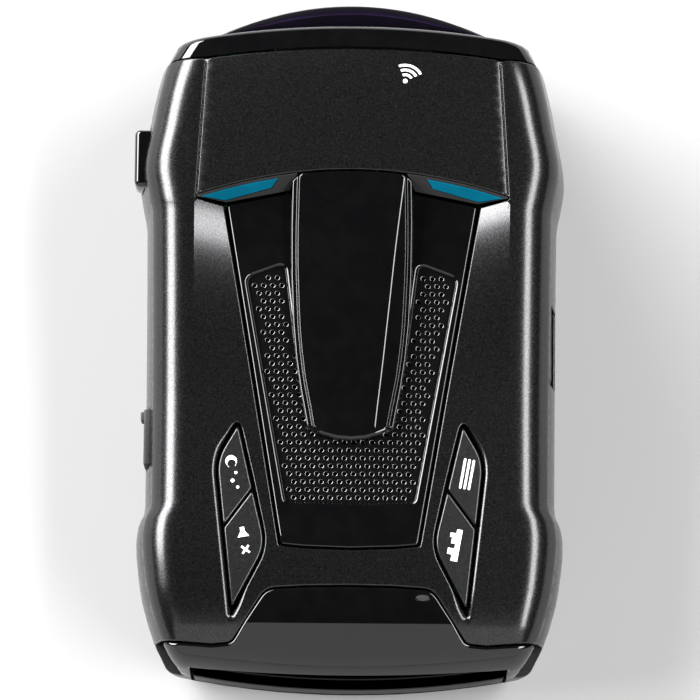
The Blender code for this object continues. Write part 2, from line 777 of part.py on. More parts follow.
def make_speaker(mats):
    centre = (0.0, SPEAKER_Y, 0.0)
    gasket = ((13.0, 26.0), (13.0, 25.3), (11.6, 25.3), (11.6, 26.0))
    finish(turned("speaker_gasket", gasket, centre), mats["foam_black"])
    outer = ((13.0, 25.0), (13.0, 24.0), (11.9, 24.0), (8.0, 18.6), (3.0, 18.6))
    frame = (*outer, (3.0, 19.6), (7.4, 19.6), (11.6, 25.0))
    finish(turned("speaker_frame", frame, centre), mats["can_steel"])
    cone = ((10.6, 24.6), (10.6, 24.2), (3.6, 20.6), (2.4, 20.6), (2.4, 21.0), (3.5, 21.0))
    finish(turned("speaker_cone", cone, centre), mats["cone_paper"])
    finish(rod("speaker_magnet", (0.0, SPEAKER_Y, 16.8), 6.5, 3.0, sides=24), mats["magnet_steel"])
    for i, x in enumerate((-1.6, 1.6)):
        route = ((3.9, 23.4), (5.6, 23.0), (6.9, 21.6), (7.4, 19.6), (7.5, 17.4), (7.6, 14.7))
        path = [(x, y, z) for y, z in route]
        colour = "wire_red" if i else "wire_black"
        finish(wire(f"speaker_wire_{i + 1}", path, 0.45), mats[colour])


def make_electronics(mats):
    board = block("main_board", (-BOARD_HALF, -47.6, BOARD_Z[0]), (BOARD_HALF, 44.6, BOARD_Z[1]))
    finish(board, mats["board_green"])
    horn = horn_solid("horn_antenna", 0.0, 16.0, 46.0)
    cut(horn, horn_solid("horn_hollow", 1.2, 18.0, 47.0))
    finish(horn, mats["cast_zinc"])
    finish(block("rf_board", (-12, -8.0, 5.4), (12, 15.5, 6.6)), mats["board_green"])
    can = block("rf_shield_can", (-11.5, -7.5, 6.9), (11.5, 15.0, 11.6))
    cut(can, block("can_hollow", (-11.1, -7.1, 5.0), (11.1, 14.6, 11.2)))
    finish(can, mats["can_steel"])
    finish(block("patch_antenna", (-11.0, 9.5, 14.5), (7.0, 27.5, 18.5)), mats["patch_ceramic"])
    finish(block("front_laser_sensor", (18.6, 41.2, 14.6), (24.6, 44.4, 20.4)), mats["chip_black"])
    finish(rod("front_laser_lens", (21.6, 45.7, 17.4), 2.8, 2.0, axis="Y", sides=16), mats["clear_lens"])
    finish(block("rear_laser_sensor", (-3.0, 24.6, 24.0), (3.0, 27.4, 28.4)), mats["chip_black"])
    for name, x in (("left_led", -20.4), ("right_led", 20.4)):
        finish(block(name, (x - 1.6, 22.4, 14.5), (x + 1.6, 24.6, 15.8)), mats["plunger_white"])


def horn_solid(name, wall, back, front):
    """A tapered box that opens towards the front."""
    rows = []
    for y in (back, front):
        share = (y - 16.0) / 30.0
        half = 7.0 + 9.0 * share - wall
        low = 5.0 - 2.0 * share + wall
        high = 11.0 + 1.2 * share - wall
        rows.append(([(half, y, high), (-half, y, high)], [(half, y, low), (-half, y, low)]))
    return loft(name, rows)


def make_sockets(mats):
    jack = block("power_jack", (20.3, -JACK_HALF, JACK_Z[0]), (33.1, JACK_HALF, JACK_Z[1]))
    mouth_low = (21.5, -JACK_MOUTH_HALF, JACK_MOUTH_Z[0])
    cut(jack, block("jack_mouth", mouth_low, (40, JACK_MOUTH_HALF, JACK_MOUTH_Z[1])))
    finish(jack, mats["chip_black"])
    port = block("data_port", (-31.4, -19.3, 14.5), (-20.0, -12.0, 19.6))
    cut(port, rod("port_bore", (-31.0, -15.65, 17.2), 1.75, 16.0, axis="X", sides=16))
    finish(port, mats["chip_black"])
    flap = block("data_port_cover", (-34.15, PORT_Y[0], PORT_Z[0]), (-32.9, PORT_Y[1], PORT_Z[1]))
    join(flap, block("flap_nib", (-34.75, -12.8, 16.0), (-33.5, -11.2, 19.0)))
    finish(flap, mats["rubber_black"])
    origin = Vector((FLAP_HINGE[0], FLAP_HINGE[1], 17.5)) * MM
    flap.data.transform(Matrix.Translation(-origin))
    flap.location = origin


def make_fixings(mats):
    for i, (x, y) in enumerate(SCREWS):
        profile = ((0.0, 12.6), (1.4, 12.0), (1.45, 2.0), (1.45, 1.5), (2.7, 1.5), (2.7, 0.3), (0.0, 0.3))
        shape = turned(f"case_screw_{i + 1}", profile, (x, y, 0.0), sides=16)
        finish(shape, mats["screw_steel"])
    finish(block("blank_label", (-17.6, -33.6, 0.2), (17.6, -12.4, 0.45)), mats["label_silver"])


def main():
    mats = {
        "cover_black": material("cover_black", (0.035, 0.035, 0.038), 0.42, 0.35),
        "base_black": material("base_black", (0.02, 0.02, 0.021), 0.5),
        "gloss_black": material("gloss_black", (0.008, 0.008, 0.009), 0.06),
        "grille_black": material("grille_black", (0.02, 0.02, 0.02), 0.4),
        "button_black": material("button_black", (0.03, 0.03, 0.032), 0.38, 0.2),
        "trim_grey": material("trim_grey", (0.045, 0.042, 0.043), 0.6),
        "light_teal": material("light_teal", (0.0, 0.17, 0.3), 0.25),
        "nose_smoke": material("nose_smoke", (0.012, 0.005, 0.022), 0.05),
        "smoke_window": material("smoke_window", (0.01, 0.01, 0.012), 0.05),
        "display_black": material("display_black", (0.02, 0.02, 0.02), 0.3),
        "board_green": material("board_green", (0.02, 0.16, 0.06), 0.45),
        "chip_black": material("chip_black", (0.02, 0.02, 0.02), 0.5),
        "plunger_white": material("plunger_white", (0.8, 0.8, 0.78), 0.4),
        "clear_lens": material("clear_lens", (0.75, 0.75, 0.78), 0.05),
        "cast_zinc": material("cast_zinc", (0.55, 0.55, 0.56), 0.45, 1.0),
        "can_steel": material("can_steel", (0.62, 0.62, 0.63), 0.3, 1.0),
        "patch_ceramic": material("patch_ceramic", (0.7, 0.66, 0.55), 0.5),
        "magnet_steel": material("magnet_steel", (0.3, 0.3, 0.31), 0.35, 1.0),
        "cone_paper": material("cone_paper", (0.06, 0.06, 0.06), 0.8),
        "foam_black": material("foam_black", (0.03, 0.03, 0.03), 0.95),
        "wire_red": material("wire_red", (0.5, 0.02, 0.02), 0.5),
        "wire_black": material("wire_black", (0.02, 0.02, 0.02), 0.5),
        "rubber_black": material("rubber_black", (0.02, 0.02, 0.02), 0.75),
        "latch_acetal": material("latch_acetal", (0.05, 0.05, 0.05), 0.4),
        "spring_steel": material("spring_steel", (0.6, 0.6, 0.6), 0.3, 1.0),
        "screw_steel": material("screw_steel", (0.15, 0.15, 0.16), 0.35, 1.0),
        "label_silver": material("label_silver", (0.6, 0.6, 0.6), 0.5),
    }
    make_top_cover(mats["cover_black"])
    make_bottom_cover(mats["base_black"])
    make_front_bezel(mats["gloss_black"])
    make_front_lens(mats["nose_smoke"])
    make_bracket_guide(mats["latch_acetal"])
    make_release(mats["gloss_black"], mats["latch_acetal"], mats["spring_steel"])
    make_deck_pieces(mats)
    make_hood(mats["gloss_black"])
    make_tail(mats)
    make_buttons(mats)
    make_speaker(mats)
    make_electronics(mats)
    make_sockets(mats)
    make_fixings(mats)


main()
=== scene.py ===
import math

import bmesh
import bpy
from mathutils import Matrix, Vector
from mathutils.geometry import delaunay_2d_cdt


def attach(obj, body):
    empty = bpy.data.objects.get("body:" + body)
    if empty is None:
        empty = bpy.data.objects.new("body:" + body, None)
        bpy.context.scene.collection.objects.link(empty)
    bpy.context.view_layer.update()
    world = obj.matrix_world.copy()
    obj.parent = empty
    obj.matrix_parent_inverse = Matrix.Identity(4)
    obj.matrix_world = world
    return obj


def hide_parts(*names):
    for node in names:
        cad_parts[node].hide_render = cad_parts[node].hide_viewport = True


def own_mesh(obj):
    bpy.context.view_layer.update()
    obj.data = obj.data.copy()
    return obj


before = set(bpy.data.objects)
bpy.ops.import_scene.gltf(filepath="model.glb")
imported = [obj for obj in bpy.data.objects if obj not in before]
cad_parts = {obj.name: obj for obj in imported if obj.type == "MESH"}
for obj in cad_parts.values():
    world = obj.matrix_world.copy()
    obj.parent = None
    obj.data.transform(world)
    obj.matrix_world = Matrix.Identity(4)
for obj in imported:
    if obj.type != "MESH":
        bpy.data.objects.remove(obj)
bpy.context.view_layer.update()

millimetre = 0.001

# the housing's shape, nose to tail, in millimetres; the same stations as the solids underneath
housing = {
    "halfWidth": (
        (56.0, 29.0), (51.6, 30.4), (47.5, 31.9), (41.0, 33.5), (36.0, 34.4), (28.3, 35.6), (23.5, 34.9),
        (20.5, 34.35), (-3.0, 34.1), (-27.0, 34.0), (-30.0, 35.1), (-32.7, 35.4), (-40.0, 34.7),
        (-47.0, 32.95), (-50.0, 31.8), (-53.9, 30.2), (-57.5, 28.9),
    ),
    "humpTop": ((56.0, 26.5), (51.3, 28.9), (47.7, 31.0), (40.0, 32.3), (28.0, 33.0), (22.0, 33.1)),
    "deckTop": ((26.0, 29.8), (0.0, 29.6), (-32.0, 28.8), (-41.0, 27.8), (-47.0, 26.15), (-53.0, 22.8)),
    "tailReach": (
        (90.0, 10.15), (82.0, 10.0), (65.5, 10.05), (49.2, 10.45), (32.8, 11.0), (8.0, 12.05), (0.0, 12.65),
    ),
    "partingHeight": 13.5,
    "footHeight": 13.65,
    "shoulderRadius": 6.0,
    "shoulderRise": 3.2,
    "creaseAt": 25.9,
    "crown": 900.0,
    "rearBow": 290.0,
    "tailPivot": -47.0,
    "tailRoll": 15.6,  # skin in the quarter turn down to the rear face
    "wallLean": 0.09,  # how far the side leans in from upright, in radians
    "shoulderStart": 0.06,
}
tableMemo = {}


def smoothAlong(name, y):
    # a monotone curve through a table that runs from its highest station down
    key = (name, round(y, 4))
    if key in tableMemo:
        return tableMemo[key]
    table = housing[name]
    last = len(table) - 1
    y = min(max(y, table[last][0]), table[0][0])
    i = 0
    while i < last - 1 and y < table[i + 1][0]:
        i += 1
    secant = [(table[k + 1][1] - table[k][1]) / (table[k + 1][0] - table[k][0]) for k in range(last)]

    def slope(k):
        if k in (0, last):
            return secant[min(k, last - 1)]
        before = secant[k - 1]
        after = secant[k]
        return 0.0 if before * after <= 0 else 2 * before * after / (before + after)

    (y0, v0), (y1, v1) = table[i], table[i + 1]
    h = y1 - y0
    t = (y - y0) / h
    value = v0 * (1 + 2 * t) * (1 - t) ** 2 + v1 * t * t * (3 - 2 * t)
    value += h * (slope(i) * t * (1 - t) ** 2 - slope(i + 1) * t * t * (1 - t))
    tableMemo[key] = value
    return value


def clamp(value, low=0.0, high=1.0):
    return min(max(value, low), high)


def eased(value):
    t = clamp(value)
    return t * t * (3 - 2 * t)


def rise(y):
    # how far the shoulder stands above the deck's own crown
    return housing["shoulderRise"] * clamp((y + 10.0) / 32.0) ** 1.2


def deckEdge(y):
    # half width of the level deck; a facet rises from it to the shoulder
    return clamp(20.6 + 0.167 * (y - 21.8), 15.3, 20.6)


def stepArc(x):
    return 27.1 - 4.3 * min(abs(x) / housing["creaseAt"], 1.0) ** 2


def seamLine(x):
    return 48.15 - 1.8 * min(abs(x) / 24.3, 1.0) ** 2


def noseFront(x):
    return 52.15 - x * x / 330.0


def humpLine(y):
    # X of the fine groove along the side of the hump
    return 25.6 - (y - 22.8) * 1.3 / 23.1


groove = {"width": 0.26, "depth": 0.30, "front": 46.2, "rear": 22.5}


def zoneOf(u, y):
    # which formula a face of the upper skin follows
    if abs(u) >= housing["creaseAt"]:
        return "shoulder"
    return "hump" if y > stepArc(u) - 1.0 else "deck"


def crownHeight(u, y, zone):
    # height of the top at u across and y along, before the shoulder turns down
    u = abs(u)
    crown = u * u / housing["crown"]
    if zone == "hump":
        return smoothAlong("humpTop", y) - crown
    deck = smoothAlong("deckTop", y) - crown
    if zone == "deck":
        edge = deckEdge(y)
        share = clamp((u - edge) / (housing["creaseAt"] - edge), 0.0, 1.2)
        return deck + rise(y) * share
    blend = eased((y - 21.0) / 8.0)
    high = smoothAlong("humpTop", max(y, 21.0)) - crown
    return (deck + rise(y)) * (1 - blend) + high * blend


def sectionFrame(crest, half, foot):
    # radius and lean of the shoulder where the top has come to crest
    radius = min(housing["shoulderRadius"], 0.4 * (crest - foot))
    lean = min(1.0, 0.1 * half)
    return radius, lean


def upperPoint(u, y, zone=None):
    # a point of the upper housing's skin: u runs across the top and on down the side
    side = -1.0 if u < 0 else 1.0
    u = abs(u)
    zone = zone or zoneOf(u, y)
    half = smoothAlong("halfWidth", y)
    foot = housing["footHeight"]
    guess = crownHeight(27.0, y, "shoulder")
    radius, lean = sectionFrame(guess, half, foot)
    inner = half - lean - radius
    if u <= inner:
        return Vector((side * u, y, crownHeight(u, y, zone) - humpGroove(u, y)))
    crest = crownHeight(inner, y, "shoulder")
    turn = math.pi / 2 - housing["wallLean"]
    start = housing["shoulderStart"]
    sweep = (u - inner) / radius + start
    centreX = inner - radius * math.sin(start)
    centreZ = crest - radius * math.cos(start)
    if sweep <= turn:
        return Vector((side * (centreX + radius * math.sin(sweep)), y, centreZ + radius * math.cos(sweep)))
    topX = centreX + radius * math.sin(turn)
    topZ = centreZ + radius * math.cos(turn)
    down = (sweep - turn) * radius
    share = down / (topZ - foot)
    x = topX + (half - topX) * share * (1.6 - 0.6 * min(share, 1.0))
    return Vector((side * x, y, topZ - down))


def sideReach(y, height=None):
    # u at which the skin has come down to a height, the foot by default
    height = housing["footHeight"] if height is None else height
    low, high = 26.0, 60.0
    for step in range(28):
        middle = (low + high) / 2
        if upperPoint(middle, y).z > height:
            low = middle
        else:
            high = middle
    return (low + high) / 2


def humpGroove(u, y):
    # the fine step along the hump's side, which runs out at both ends
    if not groove["rear"] <= y <= groove["front"]:
        return 0.0
    away = (u - humpLine(y)) / groove["width"]
    if abs(away) > 1.0:
        return 0.0
    return groove["depth"] * (1 - away * away) ** 2


def tailPoint(u, v):
    # the same skin behind the pivot, where its sections turn down to the rear face
    side = -1.0 if u < 0 else 1.0
    u = abs(u)
    pivot = housing["tailPivot"]
    if v >= pivot:
        return upperPoint(side * u, v)
    angle = min((pivot - v) / housing["tailRoll"], 1.02) * math.pi / 2
    foot = housing["footHeight"] - housing["partingHeight"]
    reach = smoothAlong("tailReach", math.degrees(angle))
    bend = math.cos(angle) ** 2 / housing["crown"] + math.sin(angle) ** 2 / housing["rearBow"]
    half = smoothAlong("halfWidth", pivot - 0.6 * reach * math.sin(angle))
    radius, lean = sectionFrame(reach - 27.0 ** 2 * bend, half, foot)
    inner = half - lean - radius
    if u <= inner:
        return tailPlace(side * u, reach - u * u * bend, angle)
    crest = reach - inner * inner * bend
    start = math.atan(2 * inner * bend)
    turn = math.pi / 2 - housing["wallLean"]
    sweep = (u - inner) / radius + start
    centreX = inner - radius * math.sin(start)
    centreR = crest - radius * math.cos(start)
    if sweep <= turn:
        r = centreR + radius * math.cos(sweep)
        return tailPlace(side * (centreX + radius * math.sin(sweep)), r, angle)
    topX = centreX + radius * math.sin(turn)
    topR = centreR + radius * math.cos(turn)
    r = topR - (sweep - turn) * radius
    share = clamp((topR - r) / max(topR, 0.5), 0.0, 1.3)
    wall = smoothAlong("halfWidth", pivot - max(r, 0.0) * math.sin(angle))
    return tailPlace(side * (topX + (wall - topX) * eased(share)), r, angle)


def tailPlace(x, r, angle):
    y = housing["tailPivot"] - r * math.sin(angle)
    return Vector((x, y, housing["partingHeight"] + r * math.cos(angle)))


def tailAngleV(angle):
    return housing["tailPivot"] - housing["tailRoll"] * angle / (math.pi / 2)


def area(loop):
    pairs = zip(loop, loop[1:] + loop[:1])
    return sum(a[0] * b[1] - b[0] * a[1] for a, b in pairs) / 2


def mirrored(half):
    left = [(-x, y) for x, y in reversed(half) if x > 0.001]
    return list(half) + left


def flipped(outline, side):
    return [(x * side, y) for x, y in outline]


def rounded(outline, radius, steps=5):
    # every corner of an outline turned by a short curve
    result = []
    count = len(outline)
    for i in range(count):
        here = Vector(outline[i])
        before = Vector(outline[i - 1])
        after = Vector(outline[(i + 1) % count])
        reach = radius(outline[i]) if callable(radius) else radius
        back = min(reach, (before - here).length * 0.45)
        ahead = min(reach, (after - here).length * 0.45)
        a = here + (before - here).normalized() * back
        b = here + (after - here).normalized() * ahead
        for k in range(steps + 1):
            t = k / steps
            point = a * (1 - t) ** 2 + here * 2 * t * (1 - t) + b * t * t
            result.append((point.x, point.y))
    return result


def grown(outline, distance):
    # an outline moved outwards, its corners kept
    sign = 1.0 if area(outline) > 0 else -1.0
    count = len(outline)
    result = []
    for i in range(count):
        before = Vector(outline[i]) - Vector(outline[i - 1])
        after = Vector(outline[(i + 1) % count]) - Vector(outline[i])
        n0 = Vector((before.y, -before.x)).normalized() * sign
        n1 = Vector((after.y, -after.x)).normalized() * sign
        middle = (n0 + n1).normalized()
        reach = distance / max(middle.dot(n0), 0.4)
        result.append((outline[i][0] + middle.x * reach, outline[i][1] + middle.y * reach))
    return result


def spaced(loop, spacing):
    # extra points so that no stretch is longer than the spacing
    result = []
    for a, b in zip(loop, loop[1:] + loop[:1]):
        length = math.hypot(b[0] - a[0], b[1] - a[1])
        if length < 1e-5:
            continue
        pieces = max(1, math.ceil(length / spacing))
        for k in range(pieces):
            t = k / pieces
            result.append((a[0] + (b[0] - a[0]) * t, a[1] + (b[1] - a[1]) * t))
    return result


def inside(x, y, outline):
    odd = False
    x0, y0 = outline[-1]
    for x1, y1 in outline:
        if (y0 > y) != (y1 > y) and x < x0 + (x1 - x0) * (y - y0) / (y1 - y0):
            odd = not odd
        x0, y0 = x1, y1
    return odd


def circle(cx, cy, radius, sides=12, turn=0.0):
    angles = [turn + i * math.tau / sides for i in range(sides)]
    return [(cx + radius * math.cos(a), cy + radius * math.sin(a)) for a in angles]


def oval(cx, cy, rx, ry, sides=32):
    angles = [i * math.tau / sides for i in range(sides)]
    return [(cx + rx * math.cos(a), cy + ry * math.sin(a)) for a in angles]


def roundBox(x0, y0, x1, y1, radius):
    return rounded([(x0, y0), (x1, y0), (x1, y1), (x0, y1)], radius)


ringShares = (0.0, 0.14, 0.40, 0.70, 1.0)  # where the rings of a rounded edge lie across it


def skinNormal(place, u, v, zone=None):
    e = 0.03
    if zone is None:
        across = place(u + e, v) - place(u - e, v)
        along = place(u, v + e) - place(u, v - e)
    else:
        across = place(u + e, v, zone) - place(u - e, v, zone)
        along = place(u, v + e, zone) - place(u, v - e, zone)
    return across.cross(along).normalized()


def panelMesh(
    name, outline, place, depth, radius=0.25, holes=(), spacing=1.2, zones=None, extra=(), back=None
):
    # a panel laid on a curved skin: an outline with holes, its edges rounded, closed underneath
    loops = []
    for index, given in enumerate([outline, *holes]):
        given = given if isinstance(given, dict) else {"outline": given}
        size = given.get("radius", radius)
        shares = given.get("rings", ringShares)
        loop = spaced(list(given["outline"]), given.get("spacing", spacing))
        turning = area(loop)
        if (turning < 0) == (index == 0):
            loop.reverse()
        loops.append((loop, size, shares))
    verts = []
    normals = []
    flat = []
    faces = []
    corners = []

    def addTop(u, v, drop):
        point = place(u, v)
        normal = skinNormal(place, u, v)
        verts.append(point - normal * drop)
        normals.append(normal)
        flat.append((u, v))
        return len(verts) - 1

    ringEdges = []
    innerLoops = []
    walls = []
    for loop, size, shares in loops:
        count = len(loop)
        inward = []
        for i in range(count):
            before = Vector(loop[i]) - Vector(loop[i - 1])
            after = Vector(loop[(i + 1) % count]) - Vector(loop[i])
            n0 = Vector((-before.y, before.x)).normalized()
            n1 = Vector((-after.y, after.x)).normalized()
            middle = n0 + n1
            middle = middle.normalized() if middle.length > 1e-6 else n0
            inward.append(middle / max(middle.dot(n0), 0.55))
        rings = []
        for share in shares:
            ring = []
            for i in range(count):
                r = size(loop[i]) if callable(size) else size
                spot = Vector(loop[i]) + inward[i] * r * share
                drop = r * (1 - math.sqrt(max(0.0, 1 - (1 - share) ** 2)))
                ring.append(addTop(spot.x, spot.y, drop))
            rings.append(ring)
        outward = []
        for i in range(count):
            spot = Vector(loop[i])
            step = inward[i].normalized() * 0.05
            way = place(spot.x - step.x, spot.y - step.y) - place(spot.x + step.x, spot.y + step.y)
            if back:
                wall = back(spot.x, spot.y) - place(spot.x, spot.y)
                way -= wall * (way.dot(wall) / wall.length_squared)
            outward.append(way.normalized())
        ringNormals = []
        for ring, share in zip(rings, shares):
            lean = 1 - share
            keep = math.sqrt(max(0.0, 1 - lean * lean))
            leaned = [normals[k] * keep + outward[i] * lean for i, k in enumerate(ring)]
            ringNormals.append([way.normalized() for way in leaned])
        for a, b, na, nb in zip(rings, rings[1:], ringNormals, ringNormals[1:]):
            for i in range(count):
                j = (i + 1) % count
                faces.append((a[i], a[j], b[j], b[i]))
                corners.extend((na[i], na[j], nb[j], nb[i]))
        walls.append((rings[0], outward))
        innerLoops.append([flat[k] for k in rings[-1]])
        ringEdges.append(rings[-1])

    # the field between the innermost rings
    fixed = [k for ring in ringEdges for k in ring]
    cell = spacing
    crowd = {}
    for k in fixed:
        u, v = flat[k]
        crowd.setdefault((int(u // cell), int(v // cell)), []).append((u, v))

    def crowded(u, v, limit):
        cu, cv = int(u // cell), int(v // cell)
        for du in (-1, 0, 1):
            for dv in (-1, 0, 1):
                for a, b in crowd.get((cu + du, cv + dv), ()):
                    if (a - u) ** 2 + (b - v) ** 2 < limit * limit:
                        return True
        return False

    chosen = list(fixed)
    extraEdges = []
    for line in extra:
        previous = None
        for u, v in line:
            k = addTop(u, v, 0.0)
            chosen.append(k)
            crowd.setdefault((int(u // cell), int(v // cell)), []).append((u, v))
            if previous is not None:
                extraEdges.append((previous, k))
            previous = k
    holeBoxes = []
    for hole in innerLoops[1:]:
        us = [p[0] for p in hole]
        vs = [p[1] for p in hole]
        holeBoxes.append((min(us), max(us), min(vs), max(vs), hole))

    def inHole(u, v):
        return any(a < u < b and c < v < d and inside(u, v, hole) for a, b, c, d, hole in holeBoxes)

    lowU = min(p[0] for p in innerLoops[0])
    highU = max(p[0] for p in innerLoops[0])
    lowV = min(p[1] for p in innerLoops[0])
    highV = max(p[1] for p in innerLoops[0])
    rowStep = spacing * 0.866
    rowCount = int((highV - lowV) / rowStep)
    for row in range(1, rowCount + 1):
        v = lowV + row * rowStep
        columns = int((highU - lowU) / spacing)
        for column in range(columns + 1):
            u = lowU + (column + 0.5 * (row % 2)) * spacing
            if crowded(u, v, 0.6 * spacing) or not inside(u, v, innerLoops[0]):
                continue
            if inHole(u, v):
                continue
            chosen.append(addTop(u, v, 0.0))
    order = {k: i for i, k in enumerate(chosen)}
    edges = [(order[a], order[b]) for a, b in extraEdges]
    for ring in ringEdges:
        edges.extend((order[a], order[b]) for a, b in zip(ring, ring[1:] + ring[:1]))
    spots = [Vector(flat[k]) for k in chosen]
    outSpots, _, outFaces, origin, _, _ = delaunay_2d_cdt(spots, edges, [], 0, 1e-6)
    match = []
    for i, spot in enumerate(outSpots):
        match.append(chosen[origin[i][0]] if origin[i] else addTop(spot.x, spot.y, 0.0))
    zoneNormals = {}
    field = []
    for face in outFaces:
        ids = [match[i] for i in face]
        mu = sum(flat[k][0] for k in ids) / len(ids)
        mv = sum(flat[k][1] for k in ids) / len(ids)
        if not inside(mu, mv, innerLoops[0]):
            continue
        if inHole(mu, mv) or len(set(ids)) < 3:
            continue
        field.append(ids)
        faces.append(tuple(ids))
        for k in ids:
            if zones:
                key = (k, zones(mu, mv))
                if key not in zoneNormals:
                    zoneNormals[key] = skinNormal(place, flat[k][0], flat[k][1], key[1])
                corners.append(zoneNormals[key])
            else:
                corners.append(normals[k])
    # underside and rim
    below = {}

    def under(k):
        if k not in below:
            u, v = flat[k]
            verts.append(back(u, v) if back else place(u, v) - normals[k] * depth)
            below[k] = len(verts) - 1
        return below[k]

    for ids in field:
        faces.append(tuple(under(k) for k in reversed(ids)))
        corners.extend(-normals[k] for k in reversed(ids))
    for (rimRing, outward), innerRing in zip(walls, ringEdges):
        count = len(rimRing)
        for i in range(count):
            j = (i + 1) % count
            faces.append((under(rimRing[i]), under(rimRing[j]), rimRing[j], rimRing[i]))
            corners.extend((outward[i], outward[j], outward[j], outward[i]))
            faces.append((under(innerRing[i]), under(innerRing[j]), under(rimRing[j]), under(rimRing[i])))
            corners.extend(-normals[k] for k in (innerRing[i], innerRing[j], rimRing[j], rimRing[i]))
    return meshFrom(name, verts, faces, corners)


def meshFrom(name, verts, faces, corners=None):
    used = sorted({k for face in faces for k in face})
    order = {k: i for i, k in enumerate(used)}
    mesh = bpy.data.meshes.new(name)
    points = [tuple(verts[k] * millimetre) for k in used]
    mesh.from_pydata(points, [], [tuple(order[k] for k in face) for face in faces])
    mesh.polygons.foreach_set("use_smooth", [True] * len(mesh.polygons))
    if corners is not None:
        mesh.normals_split_custom_set([tuple(n) for n in corners])
    mesh.update()
    return mesh


def addPiece(name, mesh, finish, body="housing", stands=()):
    mesh.name = name
    mesh.materials.clear()
    mesh.materials.append(finish)
    mesh.polygons.foreach_set("material_index", [0] * len(mesh.polygons))
    obj = bpy.data.objects.new(name, mesh)
    bpy.context.scene.collection.objects.link(obj)
    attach(obj, body)
    if stands:
        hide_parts(*stands)
    return obj


def gridMesh(name, rows):
    # a closed skin through rings of points, capped at both ends
    shape = bmesh.new()
    made = [[shape.verts.new(p) for p in row] for row in rows]
    for a, b in zip(made, made[1:]):
        count = len(a)
        for i in range(count):
            j = (i + 1) % count
            shape.faces.new((a[i], a[j], b[j], b[i]))
    shape.faces.new(list(reversed(made[0])))
    shape.faces.new(made[-1])
    bmesh.ops.recalc_face_normals(shape, faces=shape.faces)
    for vert in shape.verts:
        vert.co = vert.co * millimetre
    mesh = bpy.data.meshes.new(name)
    shape.to_mesh(mesh)
    shape.free()
    mesh.polygons.foreach_set("use_smooth", [True] * len(mesh.polygons))
    return mesh


def boxMesh(name, low, high, radius=0.3, segments=3):
    # a block with rounded edges
    shape = bmesh.new()
    bmesh.ops.create_cube(shape, size=1.0)
    size = [b - a for a, b in zip(low, high)]
    middle = [(a + b) / 2 for a, b in zip(low, high)]
    place = Matrix.Translation(middle) @ Matrix.Diagonal((*size, 1.0))
    bmesh.ops.transform(shape, matrix=place, verts=shape.verts)
    if radius:
        edges = shape.edges[:]
        bmesh.ops.bevel(shape, geom=edges, offset=radius, segments=segments, profile=0.5, affect="EDGES")
    for vert in shape.verts:
        vert.co = vert.co * millimetre
    mesh = bpy.data.meshes.new(name)
    shape.to_mesh(mesh)
    shape.free()
    mesh.polygons.foreach_set("use_smooth", [True] * len(mesh.polygons))
    return mesh


def coneMesh(name, centre, radii, depth, sides=48):
    # an upright round block, which may taper
    shape = bmesh.new()
    low, high = radii
    bmesh.ops.create_cone(shape, cap_ends=True, segments=sides, radius1=low, radius2=high, depth=depth)
    bmesh.ops.transform(shape, matrix=Matrix.Translation(Vector(centre)), verts=shape.verts)
    for vert in shape.verts:
        vert.co = vert.co * millimetre
    mesh = bpy.data.meshes.new(name)
    shape.to_mesh(mesh)
    shape.free()
    return mesh


def cutMesh(mesh, cutters, operation="DIFFERENCE", solver="EXACT"):
    # a Boolean of a mesh with others, worked out at once
    obj = bpy.data.objects.new("cutTarget", mesh)
    bpy.context.scene.collection.objects.link(obj)
    tools = []
    for index, cutter in enumerate(cutters):
        tool = bpy.data.objects.new(f"cutTool{index}", cutter)
        bpy.context.scene.collection.objects.link(tool)
        tools.append(tool)
        step = obj.modifiers.new("cut", "BOOLEAN")
        step.operation = operation
        step.solver = solver
        step.object = tool
    bpy.context.view_layer.update()
    result = bpy.data.meshes.new_from_object(obj.evaluated_get(bpy.context.evaluated_depsgraph_get()))
    result.name = mesh.name
    for tool in [*tools, obj]:
        bpy.data.objects.remove(tool, do_unlink=True)
    result.polygons.foreach_set("use_smooth", [True] * len(result.polygons))
    result.set_sharp_from_angle(angle=math.radians(32))
    return result


def prismMesh(name, outline, low, high, axis="Z"):
    # an outline pushed straight through, as a cutter or a plain plate
    shape = bmesh.new()
    bottom = []
    top = []
    for a, b in outline:
        ends = ((a, b, low), (a, b, high)) if axis == "Z" else ((a, low, b), (a, high, b))
        bottom.append(shape.verts.new(ends[0]))
        top.append(shape.verts.new(ends[1]))
    count = len(outline)
    for i in range(count):
        j = (i + 1) % count
        shape.faces.new((bottom[i], bottom[j], top[j], top[i]))
    shape.faces.new(list(reversed(bottom)))
    shape.faces.new(top)
    bmesh.ops.recalc_face_normals(shape, faces=shape.faces)
    for vert in shape.verts:
        vert.co = vert.co * millimetre
    mesh = bpy.data.meshes.new(name)
    shape.to_mesh(mesh)
    shape.free()
    return mesh


print("shape tools ready")


def newFinish(name):
    finish = bpy.data.materials.new(name)
    finish.use_nodes = True
    tree = finish.node_tree
    shader = tree.nodes["Principled BSDF"]
    return finish, tree, shader


def noiseNode(tree, scale, detail=3.0, rough=0.5):
    coords = tree.nodes.new("ShaderNodeTexCoord")
    noise = tree.nodes.new("ShaderNodeTexNoise")
    noise.inputs["Scale"].default_value = scale
    noise.inputs["Detail"].default_value = detail
    noise.inputs["Roughness"].default_value = rough
    tree.links.new(coords.outputs["Object"], noise.inputs["Vector"])
    return noise


def rampNode(tree, source, stops):
    ramp = tree.nodes.new("ShaderNodeValToRGB")
    while len(ramp.color_ramp.elements) < len(stops):
        ramp.color_ramp.elements.new(0.5)
    for element, (place, colour) in zip(ramp.color_ramp.elements, stops):
        element.position = place
        element.color = (*colour, 1.0)
    tree.links.new(source, ramp.inputs["Fac"])
    return ramp


